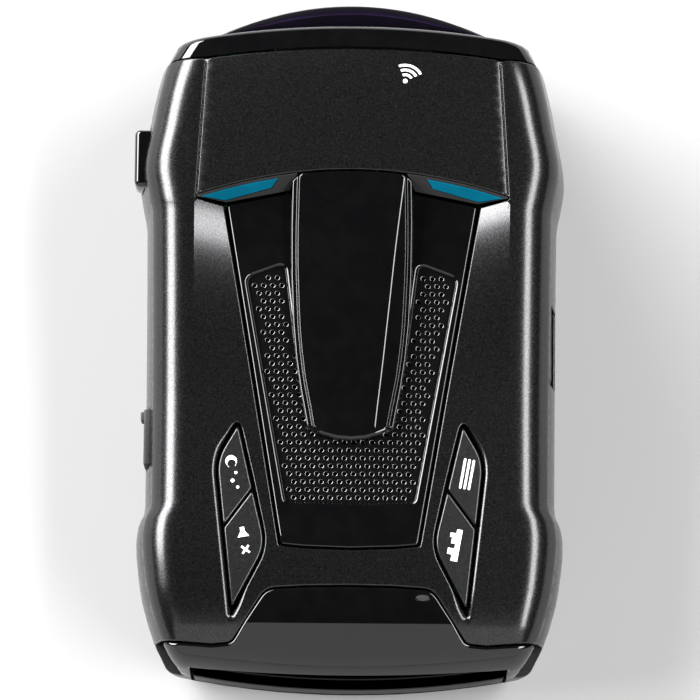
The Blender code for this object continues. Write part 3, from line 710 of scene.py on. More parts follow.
def addBump(tree, shader, source, strength, distance):
    bump = tree.nodes.new("ShaderNodeBump")
    bump.inputs["Strength"].default_value = strength
    bump.inputs["Distance"].default_value = distance
    tree.links.new(source, bump.inputs["Height"])
    tree.links.new(bump.outputs["Normal"], shader.inputs["Normal"])
    return bump


def grainFinish(name, look):
    # moulded or painted plastic with a fine grain and a little variation in gloss and shade
    finish, tree, shader = newFinish(name)
    shader.inputs["Metallic"].default_value = look.get("metallic", 0.0)
    shader.inputs["IOR"].default_value = look.get("ior", 1.5)
    edge = look.get("edge", 1.0)
    shader.inputs["Specular Tint"].default_value = (edge, edge, edge, 1.0)
    shader.inputs["Coat Weight"].default_value = look.get("coat", 0.0)
    shader.inputs["Coat Roughness"].default_value = look.get("coatRough", 0.1)
    grain = noiseNode(tree, look["grain"], 2.0, 0.6)
    low, high = look["colour"], look.get("fleck", look["colour"])
    shade = rampNode(tree, grain.outputs["Fac"], ((0.38, low), (0.66, high)))
    tree.links.new(shade.outputs["Color"], shader.inputs["Base Color"])
    gloss = noiseNode(tree, look["grain"] * 0.45, 2.0, 0.5)
    spread = look.get("roughSpread", 0.05)
    middle = look["rough"]
    smooth = (max(middle - spread, 0.0),) * 3
    rough = rampNode(tree, gloss.outputs["Fac"], ((0.3, smooth), (0.7, (middle + spread,) * 3)))
    tree.links.new(rough.outputs["Color"], shader.inputs["Roughness"])
    if look.get("bump", 0.0) > 0:
        addBump(tree, shader, grain.outputs["Fac"], look["bump"], look.get("bumpDepth", 0.00008))
    return finish


looks = {
    "coverBlack": {
        "colour": (0.005, 0.005, 0.0055), "fleck": (0.030, 0.030, 0.032), "metallic": 0.85,
        "rough": 0.27, "edge": 0.2,
        "grain": 5200.0, "bump": 0.30, "bumpDepth": 0.000026, "roughSpread": 0.06, "coat": 0.7,
        "coatRough": 0.21,
    },
    "baseBlack": {
        "colour": (0.004, 0.004, 0.0045), "fleck": (0.009, 0.009, 0.0095), "rough": 0.40, "grain": 3600.0,
        "bump": 0.30, "bumpDepth": 0.00005,
    },
    "buttonBlack": {
        "colour": (0.008, 0.008, 0.009), "fleck": (0.034, 0.034, 0.036), "metallic": 0.8, "rough": 0.36,
        "grain": 5200.0, "bump": 0.22, "bumpDepth": 0.00003, "coat": 0.8, "coatRough": 0.28,
    },
    "pianoBlack": {
        "colour": (0.0014, 0.0014, 0.0016), "fleck": (0.0020, 0.0020, 0.0022), "rough": 0.035,
        "roughSpread": 0.012,
        "grain": 260.0,
    },
    "noseSmoke": {
        "colour": (0.020, 0.015, 0.030), "fleck": (0.025, 0.018, 0.038), "rough": 0.06,
        "roughSpread": 0.015,
        "grain": 240.0, "metallic": 0.92, "edge": 0.12,
    },
    "trimGrey": {
        "colour": (0.012, 0.011, 0.0115), "fleck": (0.019, 0.0175, 0.018), "rough": 0.60, "ior": 1.3,
        "grain": 3600.0,
        "bump": 0.30, "bumpDepth": 0.00006,
    },
    "grilleBlack": {
        "colour": (0.0016, 0.0016, 0.0016), "fleck": (0.0030, 0.0030, 0.0030), "rough": 0.09,
        "grain": 3600.0,
        "bump": 0.05, "bumpDepth": 0.00001, "coat": 1.0, "coatRough": 0.05,
    },
    "lightTeal": {
        "colour": (0.000, 0.078, 0.130), "fleck": (0.000, 0.090, 0.148), "rough": 0.40, "grain": 420.0,
        "ior": 1.12,
    },
    "printWhite": {
        "colour": (0.80, 0.80, 0.80), "fleck": (0.90, 0.90, 0.90), "rough": 0.5, "grain": 3000.0,
    },
    "smokeWindow": {
        "colour": (0.014, 0.014, 0.016), "fleck": (0.018, 0.018, 0.020), "rough": 0.05, "roughSpread": 0.01,
        "grain": 200.0, "metallic": 1.0, "edge": 0.10,
    },
    "displayBlack": {
        "colour": (0.010, 0.011, 0.012), "fleck": (0.020, 0.022, 0.024), "rough": 0.25,
        "grain": 900.0,
    },
    "boardGreen": {
        "colour": (0.010, 0.085, 0.035), "fleck": (0.018, 0.140, 0.055), "rough": 0.40, "grain": 500.0,
        "coat": 0.3,
    },
    "chipBlack": {
        "colour": (0.014, 0.014, 0.015), "fleck": (0.026, 0.026, 0.027), "rough": 0.50, "grain": 2400.0,
        "bump": 0.25,
    },
    "plungerWhite": {
        "colour": (0.68, 0.68, 0.65), "fleck": (0.78, 0.78, 0.75), "rough": 0.42, "grain": 1500.0,
    },
    "clearLens": {"colour": (0.45, 0.46, 0.50), "fleck": (0.55, 0.56, 0.60), "rough": 0.08, "grain": 600.0},
    "castZinc": {
        "colour": (0.42, 0.42, 0.43), "fleck": (0.55, 0.55, 0.56), "metallic": 1.0, "rough": 0.42,
        "grain": 1800.0, "bump": 0.30,
    },
    "canSteel": {
        "colour": (0.52, 0.52, 0.53), "fleck": (0.64, 0.64, 0.65), "metallic": 1.0, "rough": 0.28,
        "grain": 1200.0,
    },
    "patchCeramic": {
        "colour": (0.58, 0.53, 0.42), "fleck": (0.70, 0.66, 0.55), "rough": 0.50, "grain": 900.0,
    },
    "magnetSteel": {
        "colour": (0.26, 0.26, 0.27), "fleck": (0.36, 0.36, 0.37), "metallic": 1.0, "rough": 0.33,
        "grain": 900.0,
    },
    "conePaper": {
        "colour": (0.035, 0.035, 0.035), "fleck": (0.070, 0.070, 0.068), "rough": 0.85, "grain": 2200.0,
        "bump": 0.5,
    },
    "foamBlack": {
        "colour": (0.012, 0.012, 0.012), "fleck": (0.035, 0.035, 0.035), "rough": 0.95, "grain": 1600.0,
        "bump": 0.9, "bumpDepth": 0.0003,
    },
    "wireRed": {
        "colour": (0.35, 0.010, 0.010), "fleck": (0.50, 0.020, 0.020), "rough": 0.45, "grain": 900.0,
    },
    "wireBlack": {
        "colour": (0.012, 0.012, 0.012), "fleck": (0.022, 0.022, 0.022), "rough": 0.45,
        "grain": 900.0,
    },
    "rubberBlack": {
        "colour": (0.012, 0.012, 0.012), "fleck": (0.022, 0.022, 0.022), "rough": 0.70, "grain": 2000.0,
        "bump": 0.3,
    },
    "latchAcetal": {
        "colour": (0.030, 0.030, 0.030), "fleck": (0.045, 0.045, 0.045), "rough": 0.38,
        "grain": 1200.0,
    },
    "springSteel": {
        "colour": (0.50, 0.50, 0.50), "fleck": (0.62, 0.62, 0.62), "metallic": 1.0, "rough": 0.28,
        "grain": 1500.0,
    },
    "screwSteel": {
        "colour": (0.10, 0.10, 0.11), "fleck": (0.17, 0.17, 0.18), "metallic": 1.0, "rough": 0.34,
        "grain": 1600.0,
    },
    "goldContact": {
        "colour": (0.60, 0.42, 0.16), "fleck": (0.70, 0.50, 0.20), "metallic": 1.0, "rough": 0.25,
        "grain": 1500.0,
    },
    "sensorGrey": {
        "colour": (0.018, 0.018, 0.019), "fleck": (0.026, 0.026, 0.026), "rough": 0.35,
        "grain": 1500.0,
    },
    "labelSilver": {
        "colour": (0.50, 0.50, 0.51), "fleck": (0.60, 0.60, 0.61), "metallic": 0.5, "rough": 0.42,
        "grain": 2500.0,
    },
}
finishes = {name: grainFinish(name, look) for name, look in looks.items()}
print("materials made:", len(finishes))


coverSize = {
    "edge": 0.35, "skin": 1.6, "seamGap": 0.12, "deckEdge": 0.28,
    # y0, y1, z0, z1, side, corner radius
    "buttonWindow": (25.7, 35.9, 16.8, 24.2, -1, 1.2),
    "jackWindow": (-6.6, 6.6, 14.4, 23.2, 1, 0.8),
    "portWindow": (-20.6, -10.7, 14.4, 20.8, -1, 0.6),
}

def deckOpening(grow=0.0):
    arc = [(x, stepArc(x)) for x in (0.0, 5.0, 10.0, 14.0, 18.0, 22.0, 25.5)]
    half = [*arc, (25.6, 22.45), (20.95, 21.7), (11.45, -34.5), (7.6, -34.95), (0.0, -35.2)]
    return grown(mirrored(half), grow) if grow else mirrored(half)


def bezelLine(shift):
    # the joint between the cover and the tail bezel, from the middle out to the side
    return [(x, y + shift) for x, y in ((0.0, -41.1), (7.0, -41.2), (13.6, -41.6), (19.2, -50.2))]


def roundedChain(points, radii, steps=5):
    # an open chain with its inner corners turned
    result = [points[0]]
    for i in range(1, len(points) - 1):
        here = Vector(points[i])
        before = Vector(points[i - 1])
        after = Vector(points[i + 1])
        reach = radii[i - 1]
        if reach <= 0:
            result.append(points[i])
            continue
        a = here + (before - here).normalized() * min(reach, (before - here).length * 0.45)
        b = here + (after - here).normalized() * min(reach, (after - here).length * 0.45)
        for k in range(steps + 1):
            t = k / steps
            spot = a * (1 - t) ** 2 + here * 2 * t * (1 - t) + b * t * t
            result.append((spot.x, spot.y))
    result.append(points[-1])
    return result


well = {
    "corners": ((18.35, -13.0), (22.1, -20.4), (19.25, -46.0), (13.35, -34.8), (15.7, -24.0)),
    "sharpTurn": 0.5, "softTurn": 3.0, "innerEdge": 0.30, "outerEdge": 1.05,
}


def wellRadius(spot):
    # the well's outer side is broadly chamfered, its inner side crisp
    middle = 17.2 + (spot[1] + 46.0) * 0.11
    share = eased((abs(spot[0]) - middle) / 2.4 + 0.5)
    return well["innerEdge"] + (well["outerEdge"] - well["innerEdge"]) * share


def wellOutline(side):
    def turn(spot):
        return well["sharpTurn"] if spot[1] > -13 or spot[1] < -45 else well["softTurn"]

    return rounded(flipped(well["corners"], side), turn, 6)


def sideWindow(y0, y1, z0, z1, side, radius):
    # a window in the side wall as an outline on the skin
    result = []
    for y, z in roundBox(y0, z0, y1, z1, radius):
        result.append((side * sideReach(y, z), y))
    return result


def makeTopCover():
    ends = [(22.5, -50.35), (27.0, -50.0), (33.0, -49.6)]
    back = roundedChain([*bezelLine(coverSize["seamGap"]), *ends], (0, 1.6, 0.9, 0, 0, 0))
    front = [(x, seamLine(x) - 0.05) for x in (0.0, 6.0, 12.0, 18.0, 24.3, 28.0)]
    sideYs = [45.85 - i * (45.85 + 49.5) / 60 for i in range(61)]
    half = front + [(sideReach(y), y) for y in sideYs]
    half += list(reversed([p for p in back if p[0] > 0.001])) + [back[0]]
    outline = mirrored(half)
    holes = [{"outline": rounded(deckOpening(0.1), 0.3, 3), "radius": coverSize["deckEdge"]}]
    for side in (-1, 1):
        holes.append({"outline": wellOutline(side), "radius": wellRadius, "spacing": 0.8})
    for window, edge in (("buttonWindow", 0.3), ("jackWindow", 0.3), ("portWindow", 0.25)):
        holes.append({"outline": sideWindow(*coverSize[window]), "radius": edge, "spacing": 0.8})
    lines = []
    for side in (-1, 1):
        for share in (-1.0, -0.6, -0.25, 0.25, 0.6, 1.0):
            line = []
            for i in range(24):
                y = 23.2 + (45.4 - 23.2) * i / 23
                line.append((side * (humpLine(y) + share * groove["width"]), y))
            lines.append(line)
        crease = housing["creaseAt"] + 0.001
        lines.append([(side * crease, 21.6 - i * 1.3) for i in range(25)])
    mesh = panelMesh(
        "topCover", outline, upperPoint, coverSize["skin"], coverSize["edge"], holes, 1.15, zoneOf, lines
    )
    return addPiece("topCover", mesh, finishes["coverBlack"], "housing", ("top_cover",))


makeTopCover()
print("top cover made")


def deckPoint(u, v, zone=None):
    return upperPoint(u, v, "deck")


panelSize = {"edge": 0.42, "depth": 1.6, "slotEdge": 0.75}
grilleSize = {
    "sunk": 0.8, "depth": 0.9, "edge": 0.1, "pitch": 1.5, "firstRow": 9.75, "lastRow": -27.5, "shift": -0.2,
    "hole": 0.27, "ring": 0.22, "margin": 0.66, "underHood": 0.9, "sides": 10,
}


def grilleOutline():
    return mirrored([(0.0, -1.65), (9.4, -1.65), (11.1, 11.9), (17.2, 9.7), (10.5, -27.3), (0.0, -27.6)])


def makeCentrePanel():
    half = [(0.0, 23.95), (10.4, 23.75), (20.6, 21.75), (11.2, -34.4), (7.4, -34.75), (0.0, -35.0)]
    outline = mirrored(half)
    slot = rounded(grilleOutline(), lambda p: 1.2 if p[1] > 5 else 0.5, 5)
    hole = {"outline": slot, "radius": panelSize["slotEdge"], "spacing": 0.9}
    mesh = panelMesh(
        "centrePanel", rounded(outline, 0.5), deckPoint, panelSize["depth"], panelSize["edge"], [hole], 1.6
    )
    addPiece("centrePanel", mesh, finishes["pianoBlack"], "housing", ("centre_panel",))


def makeGrille():
    size = grilleSize
    edge = grown(grilleOutline(), 0.5)
    field = grown(grilleOutline(), -size["margin"])
    hidden = grown(hoodOutline(), -size["underHood"])
    holes = []
    row = 0
    y = size["firstRow"]
    while y > size["lastRow"]:
        for column in range(-14, 15):
            x = (column + 0.5 * (row % 2)) * size["pitch"] + size["shift"]
            if inside(x, y, field) and not inside(x, y, hidden):
                spot = circle(x, y, size["hole"], size["sides"])
                rings = (0.0, 0.4, 1.0)
                holes.append({"outline": spot, "radius": size["ring"], "spacing": 1.0, "rings": rings})
        row += 1
        y -= size["pitch"] * 0.866

    def sunk(u, v, zone=None):
        return deckPoint(u, v) - Vector((0, 0, size["sunk"]))

    mesh = panelMesh("speakerGrille", edge, sunk, size["depth"], size["edge"], holes, 1.3)
    print("grille holes:", len(holes))
    addPiece("speakerGrille", mesh, finishes["grilleBlack"], "housing", ("speaker_grille",))


def stepFootLine(x):
    x = abs(x)
    if x < 20.7:
        return 23.95 - (max(x, 8.0) - 10.4) * 0.19
    return 21.99 + (x - 20.7) * 0.095


def stepPoint(x, y, zone=None):
    # the sloped face between the hump's rear edge and the deck
    a = min(abs(x), 25.75)
    top = stepArc(a)
    foot = stepFootLine(a)
    share = (top - y) / (top - foot)
    high = crownHeight(a, top, "hump") - 0.25
    low = crownHeight(a, foot, "deck")
    return Vector((x, y, high + (low - high) * clamp(share, -0.4, 1.4)))


lights = {
    "trimDepth": 1.0, "trimEdge": 0.10, "pipeDepth": 1.4, "pipeEdge": 0.12, "gap": 0.05, "proud": 0.06,
    "pipe": (
        (24.9, 22.62), (22.6, 23.35), (19.9, 24.1), (16.0, 25.0), (12.2, 25.7), (13.2, 24.35),
        (20.9, 22.32),
    ),
}


def makeDeckLights():
    for side, name in ((-1, "left"), (1, "right")):
        upper = [(x, stepArc(x) - 0.1) for x in (25.5, 24.0, 21.0, 18.0, 15.0, 12.0, 9.0)]
        lower = [(10.3, 24.1), (20.7, 22.1), (25.5, 22.58)]
        outline = flipped(upper + lower, side)
        pipe = flipped(lights["pipe"], side)
        hole = {"outline": grown(pipe, lights["gap"]), "radius": 0.04}
        trimName = name + "LightTrim"
        trim = panelMesh(trimName, outline, stepPoint, lights["trimDepth"], lights["trimEdge"], [hole], 0.9)
        addPiece(trimName, trim, finishes["trimGrey"], "housing", (name + "_light_trim",))

        def raised(u, v, zone=None):
            return stepPoint(u, v) + Vector((0, 0, lights["proud"]))

        pipeName = name + "LightPipe"
        light = panelMesh(pipeName, pipe, raised, lights["pipeDepth"], lights["pipeEdge"], (), 0.9)
        addPiece(pipeName, light, finishes["lightTeal"], "housing", (name + "_light_pipe",))


hood = {
    # y, foot half width, ridge half width, ridge height
    "stations": (
        (27.2, 9.9, 8.5, 32.97), (25.0, 9.95, 8.3, 32.95), (23.3, 10.0, 8.1, 32.9), (15.0, 10.1, 7.1, 32.4),
        (2.5, 9.7, 5.8, 31.7), (-6.0, 8.85, 4.9, 31.3), (-12.0, 7.75, 4.2, 31.0), (-18.5, 6.6, 3.5, 30.6),
    ),
    "crown": 0.20, "flankSlope": 0.20, "flankTurn": 0.5, "lip": 1.1, "lipDrop": 0.42, "lipWidth": 0.44,
    "ridgeDrop": 0.07, "ridgeWidth": 0.30, "endEdge": 1.0, "sideEdge": 0.38, "depth": 1.5,
}
for index, key in enumerate(("hoodFoot", "hoodRidge", "hoodHigh")):
    housing[key] = tuple((row[0], row[index + 1]) for row in hood["stations"])


def hoodOutline():
    root = [(x, stepArc(x) - 0.12) for x in (0.0, 4.0, 8.9)]
    stations = (25.4, 23.6, 18.0, 10.0, 2.0, -4.0, -9.0, -13.0, -15.2)
    sides = [(smoothAlong("hoodFoot", y), y) for y in stations]
    end = [(6.95, -15.65), (6.55, -15.95), (4.6, -16.75), (2.4, -17.35), (0.0, -17.55)]
    return mirrored([*root, *sides, *end])


def hoodPoint(u, v, zone=None):
    # a flat top between two ridges, sloped flanks and a small step down to the foot
    w = abs(u)
    ridge = smoothAlong("hoodRidge", v)
    foot = smoothAlong("hoodFoot", v)
    top = smoothAlong("hoodHigh", v) - hood["crown"] * (min(w, ridge) / ridge) ** 2
    if w > ridge:
        away = w - ridge
        turn = hood["flankTurn"]
        top -= hood["flankSlope"] * (away * away / (2 * turn) if away < turn else away - turn / 2)
        top -= hood["ridgeDrop"] * eased(away / hood["ridgeWidth"])
        top -= hood["lipDrop"] * eased((w - foot + hood["lip"]) / hood["lipWidth"] + 0.5)
    return Vector((u, v, top))


def makeHood():
    lines = []
    for side in (-1, 1):
        ys = [25.9 - i * 41.0 / 40 for i in range(41)]
        for shift in (-0.02, 0.08, 0.18, 0.31, 0.55):
            lines.append([(side * (smoothAlong("hoodRidge", y) + shift), y) for y in ys])
        for share in (-0.55, -0.25, 0.0, 0.25, 0.55):
            shift = hood["lipWidth"] * share - hood["lip"]
            lines.append([(side * (smoothAlong("hoodFoot", y) + shift), y) for y in ys])

    def edge(spot):
        return hood["endEdge"] if spot[1] < -15.6 else hood["sideEdge"]

    outline = {"outline": hoodOutline(), "radius": edge, "spacing": 0.9}
    mesh = panelMesh("rearSensorHood", outline, hoodPoint, hood["depth"], 0.3, (), 1.2, None, lines)
    addPiece("rearSensorHood", mesh, finishes["pianoBlack"], "housing", ("rear_sensor_hood",))


makeCentrePanel()
makeGrille()
makeDeckLights()
makeHood()
print("deck pieces made")


keys = {
    "edge": 0.32, "depth": 1.9, "proud": 0.12, "printLift": 0.02, "printDepth": 0.05,
    "softTurn": 2.6, "sharpTurn": 0.3,
    "upper": ((18.4, -14.9), (21.75, -20.6), (20.6, -31.3), (16.02, -25.2)),
    "lower": ((15.9, -25.6), (20.5, -31.75), (19.12, -44.6), (13.75, -34.6)),
    "upperMark": (19.1, -22.7), "lowerMark": (17.1, -34.3), "markTilt": 10.0,
    "upperStem": (18.9, -22.0), "lowerStem": (17.2, -34.4),
    "stemHeight": 26.2, "stemRadius": 1.3, "stemDepth": 1.9,
}


def keyPoint(u, v, zone=None):
    return deckPoint(u, v) + Vector((0, 0, keys["proud"]))


def printPoint(u, v, zone=None):
    return keyPoint(u, v) + Vector((0, 0, keys["printLift"]))


def moonMark():
    # a crescent and three dots
    wide = [0.6 + i * (math.tau - 1.2) / 18 for i in range(19)]
    narrow = [5.45 - i * 4.6 / 12 for i in range(13)]
    outer = [(-1.9 + 0.95 * math.cos(a), 0.95 * math.sin(a)) for a in wide]
    inner = [(-1.45 + 0.72 * math.cos(a), 0.72 * math.sin(a)) for a in narrow]
    dots = ((0.1, 0.45, 0.26), (1.3, -0.3, 0.32), (2.5, 0.35, 0.26))
    return [outer + inner, *[circle(x, y, radius, 10) for x, y, radius in dots]]


def mutedMark():
    # a speaker horn and a cross
    horn = [(-2.7, -0.35), (-2.0, -0.35), (-1.1, -0.95), (-1.1, 0.95), (-2.0, 0.35), (-2.7, 0.35)]
    cross = []
    arm, wide = 0.85, 0.16
    for quarter in range(4):
        a = quarter * math.pi / 2 + math.pi / 4
        for along, across in ((arm, -wide), (arm, wide), (wide, wide)):
            x = along * math.cos(a) - across * math.sin(a)
            cross.append((1.0 + x, along * math.sin(a) + across * math.cos(a)))
    return [horn, cross]


def barsMark():
    return [roundBox(-2.5, b - 0.19, 2.5, b + 0.19, 0.15) for b in (-0.72, 0.0, 0.72)]


def skylineMark():
    # roofs of unequal height
    steps = ((-2.6, 0.2), (-1.6, 0.2), (-1.6, 0.95), (-0.6, 0.95), (-0.6, -0.1), (0.2, -0.1), (0.2, 0.6))
    top = [*steps, (1.2, 0.6), (1.2, 0.95), (1.9, 0.95), (1.9, 0.0), (2.6, 0.0)]
    return [[(-2.6, -0.9), *top, (2.6, -0.9)]]


def placedMark(shapes, centre, turn):
    # outlines drawn about the origin, turned and moved to their centre
    c, s = math.cos(turn), math.sin(turn)
    x, y = centre
    return [[(x + a * c - b * s, y + a * s + b * c) for a, b in shape] for shape in shapes]


def keyOutline(row, side):
    def turn(spot):
        # the corner that follows the well's bend is soft
        return keys["softTurn"] if abs(spot[0]) > 21 or abs(spot[0]) < 14 else keys["sharpTurn"]

    return rounded(flipped(keys[row], side), turn, 6)


def makeKeys():
    tilt = math.radians(keys["markTilt"])
    plans = (
        ("dark", -1, "upper", moonMark()), ("quiet", -1, "lower", mutedMark()),
        ("menu", 1, "upper", barsMark()), ("city", 1, "lower", skylineMark()),
    )
    for name, side, row, mark in plans:
        outline = {"outline": keyOutline(row, side), "spacing": 0.8}
        mesh = panelMesh(name + "Key", outline, keyPoint, keys["depth"], keys["edge"])
        body = name + "_key"
        addPiece(name + "Key", mesh, finishes["buttonBlack"], body, (name + "_button",))
        x, y = keys[row + "Mark"]
        turn = -math.pi / 2 + tilt if side < 0 else math.pi / 2 - tilt
        for index, shape in enumerate(placedMark(mark, (x * side, y), turn)):
            markName = f"{name}Mark{index + 1}"
            stamp = panelMesh(markName, shape, printPoint, keys["printDepth"], 0.02, (), 0.6)
            addPiece(markName, stamp, finishes["printWhite"], body)
        x, y = keys[row + "Stem"]
        radii = (keys["stemRadius"], keys["stemRadius"])
        stem = coneMesh(name + "Stem", (x * side, y, keys["stemHeight"]), radii, keys["stemDepth"], 24)
        addPiece(name + "Stem", stem, finishes["buttonBlack"], body)


humpMark = {
    "centre": (8.6, 42.3), "turn": 1.2, "dot": 0.38, "arcs": (1.1, 1.95, 2.8), "arcWidth": 0.42,
    "spread": 1.5, "lift": 0.03, "depth": 0.05,
}


def arcOutline(radius, width, spread):
    # a curved bar about the origin, opening along +X
    angles = [spread * (i / 14 - 0.5) for i in range(15)]
    high = radius + width / 2
    low = radius - width / 2
    outer = [(high * math.cos(a), high * math.sin(a)) for a in angles]
    return outer + [(low * math.cos(a), low * math.sin(a)) for a in reversed(angles)]


def makeHumpMark():
    # three plain signal waves and their source
    shapes = [circle(0.0, 0.0, humpMark["dot"], 18)]
    shapes += [arcOutline(radius, humpMark["arcWidth"], humpMark["spread"]) for radius in humpMark["arcs"]]

    def raised(u, v, zone=None):
        return upperPoint(u, v, "hump") + Vector((0, 0, humpMark["lift"]))

    for index, shape in enumerate(placedMark(shapes, humpMark["centre"], humpMark["turn"])):
        stamp = panelMesh(f"signalMark{index + 1}", shape, raised, humpMark["depth"], 0.015, (), 0.6)
        addPiece(f"signalMark{index + 1}", stamp, finishes["printWhite"])


makeKeys()
makeHumpMark()
print("keys and marks made")


tail = {
    "edge": 0.4, "depth": 1.7, "seamGap": 0.12, "windowHalf": 26.1, "windowTop": 20.05, "wallY": -49.85,
    "eye": (12.0, -42.9), "eyeHole": (1.12, 0.56), "eyeSize": (1.04, 0.48),
}
windowPane = {
    "outline": (-25.75, 5.5, 25.75, 19.75), "corner": 0.8, "face": -56.5, "bow": 300.0, "depth": 1.5,
}


def tailV(x, y):
    # v at which the tail's skin has come back to a plan position
    low, high = housing["tailPivot"] - housing["tailRoll"], -38.0
    for step in range(30):
        middle = (low + high) / 2
        if tailPoint(x, middle).y < y:
            low = middle
        else:
            high = middle
    return (low + high) / 2


def tailU(v, y):
    # u on the side wall at a plan position, for one section of the tail
    low, high = 24.0, 46.0
    for step in range(30):
        middle = (low + high) / 2
        if tailPoint(middle, v).y < y:
            low = middle
        else:
            high = middle
    return (low + high) / 2


def tailWindowV():
    # v at which the skin has come down to the top of the display window
    low, high = housing["tailPivot"] - housing["tailRoll"], housing["tailPivot"]
    for step in range(30):
        middle = (low + high) / 2
        if tailPoint(0.0, middle).z > tail["windowTop"]:
            high = middle
        else:
            low = middle
    return (low + high) / 2


def makeRearBezel():
    ends = [(22.5, -50.62), (27.0, -50.28), (30.0, -50.05)]
    front = roundedChain([*bezelLine(-tail["seamGap"]), *ends], (0, 1.6, 0.9, 0, 0, 0))
    chain = [(x, tailV(x, y)) for x, y in front]
    startAngle = (housing["tailPivot"] - chain[-1][1]) / housing["tailRoll"] * 90.0
    for i in range(1, 15):
        angle = startAngle + (89.0 - startAngle) * (i / 14) ** 1.4
        v = tailAngleV(math.radians(angle))
        chain.append((tailU(v, tail["wallY"]), v))
    lowV = chain[-1][1]
    topV = tailWindowV()
    chain += [(tail["windowHalf"], lowV), (tail["windowHalf"], topV), (0.0, topV)]
    x, y = tail["eye"]
    centre = (x, tailV(x, y))
    hole = oval(*centre, *tail["eyeHole"], 24)
    sensor = {"outline": hole, "radius": 0.06, "spacing": 0.3, "rings": (0.0, 1.0)}
    mesh = panelMesh("rearBezel", mirrored(chain), tailPoint, tail["depth"], tail["edge"], [sensor], 1.1)
    addPiece("rearBezel", mesh, finishes["pianoBlack"], "housing", ("rear_bezel",))
    eye = {"outline": oval(*centre, *tail["eyeSize"], 24), "spacing": 0.3}
    mesh = panelMesh("lightSensorEye", eye, tailPoint, 1.2, 0.05, (), 0.4)
    addPiece("lightSensorEye", mesh, finishes["sensorGrey"], "housing", ("light_sensor_pipe",))


def makeDisplayWindow():
    def glass(u, v, zone=None):
        lean = 0.9 * clamp((v - 12.0) / 7.7) ** 1.6
        return Vector((u, windowPane["face"] + u * u / windowPane["bow"] + lean, v))

    outline = roundBox(*windowPane["outline"], windowPane["corner"])
    mesh = panelMesh("displayWindow", outline, glass, windowPane["depth"], 0.3, (), 1.6)
    addPiece("displayWindow", mesh, finishes["smokeWindow"], "housing", ("display_window",))


makeRearBezel()
makeDisplayWindow()
print("tail made")


nose = {
    # the stations whose sections give the face and the root, and the lift of their undersides
    "faceAt": 49.7, "faceLift": 0.9, "rootAt": 47.6, "rootLift": 0.15, "centreHeight": 14.0,
    "rim": 0.95, "seamGap": 0.22, "windowEdge": 0.25,
    "straight": ((25.5, 4.3, 20.7), (14.6, 21.9, 27.6)),  # half width and heights about each window
    "lensWindow": (-25.15, 4.45, 25.15, 20.55), "guideWindow": (-14.35, 22.05, 14.35, 27.45),
    "lens": (-24.85, 4.75, 24.85, 20.25), "lensRadius": 47.4, "lensEdgeY": 51.9, "lensBack": 48.7,
    "lensEdge": 0.3,
}
base = {
    # height and how far the wall stands in from the housing's half width there
    "profile": (
        (13.4, 0.12), (13.25, 0.0), (11.0, 0.16), (9.0, 0.40), (6.5, 0.78), (4.0, 1.30), (2.4, 1.88),
        (1.3, 2.60), (0.5, 3.55), (0.12, 4.15), (0.0, 4.75),
    ),
    "rearProfile": (
        (13.4, 0.10), (13.25, 0.0), (11.0, 0.04), (9.0, 0.10), (6.5, 0.20), (4.0, 0.40), (2.4, 0.75),
        (1.3, 1.20), (0.5, 2.00), (0.12, 2.60), (0.0, 3.20),
    ),
}


def tableValue(table, z):
    # straight lines through a table that runs downwards
    for (z0, a), (z1, b) in zip(table, table[1:]):
        if z >= z1:
            return a + (b - a) * clamp((z0 - z) / (z0 - z1))
    return table[-1][1]


def noseSection(y, lift, count=44):
    # the closed section of the nose: over the top, down the sides and across the bottom
    reach = sideReach(y)
    half = smoothAlong("halfWidth", y)
    top = []
    for i in range(count + 1):
        u = reach * (1 - 2 * i / count)
        spot = upperPoint(u, y)
        top.append((spot.x, spot.z))
    left = []
    for z in (11, 8, 5, 3, 1.6, 0.8, 0.25):
        left.append((tableValue(base["profile"], z) - half, z + lift * (1 - z / housing["partingHeight"])))
    bottom = [((half - 5.0) * (i / 10 - 0.5) * 2, 0.05 + lift) for i in range(11)]
    right = [(-x, z) for x, z in reversed(left)]
    return top + left + bottom + right


def makeFrontBezel():
    face = noseSection(nose["faceAt"], nose["faceLift"])
    root = noseSection(nose["rootAt"], nose["rootLift"])
    centre = Vector((0.0, nose["centreHeight"]))

    def reachAlong(loop, angle):
        # how far a section reaches from the centre in one direction
        way = Vector((math.cos(angle), math.sin(angle)))
        best = 1.0
        for i in range(len(loop)):
            a = Vector(loop[i]) - centre
            b = Vector(loop[(i + 1) % len(loop)]) - centre
            side = b - a
            cross = way.x * side.y - way.y * side.x
            if abs(cross) < 1e-9:
                continue
            along = (a.x * side.y - a.y * side.x) / cross
            share = (a.x * way.y - a.y * way.x) / cross
            if along > 0 and -1e-6 <= share <= 1 + 1e-6:
                best = max(best, along)
        return best

    def frontFace(u, v, zone=None):
        return Vector((-u, noseFront(u), v))

    def seamFace(u, v, zone=None):
        # the far side: walls of the two windows run straight back, the rest spreads to the root
        away = Vector((-u, v)) - centre
        angle = math.atan2(away.y, away.x)
        straight = any(abs(u) < half and low < v < high for half, low, high in nose["straight"])
        ratio = 1.0 if straight else reachAlong(root, angle) / reachAlong(face, angle)
        spot = centre + away * ratio
        return Vector((spot.x, seamLine(spot.x) + nose["seamGap"], spot.y))

    outline = {"outline": [(-x, z) for x, z in face], "radius": nose["rim"], "spacing": 1.3}
    holes = [
        {"outline": roundBox(*nose["lensWindow"], 1.0), "radius": nose["windowEdge"]},
        {"outline": roundBox(*nose["guideWindow"], 0.6), "radius": nose["windowEdge"]},
    ]
    mesh = panelMesh("frontBezel", outline, frontFace, 3.0, 0.3, holes, 1.6, None, (), seamFace)
    addPiece("frontBezel", mesh, finishes["pianoBlack"], "housing", ("front_bezel",))


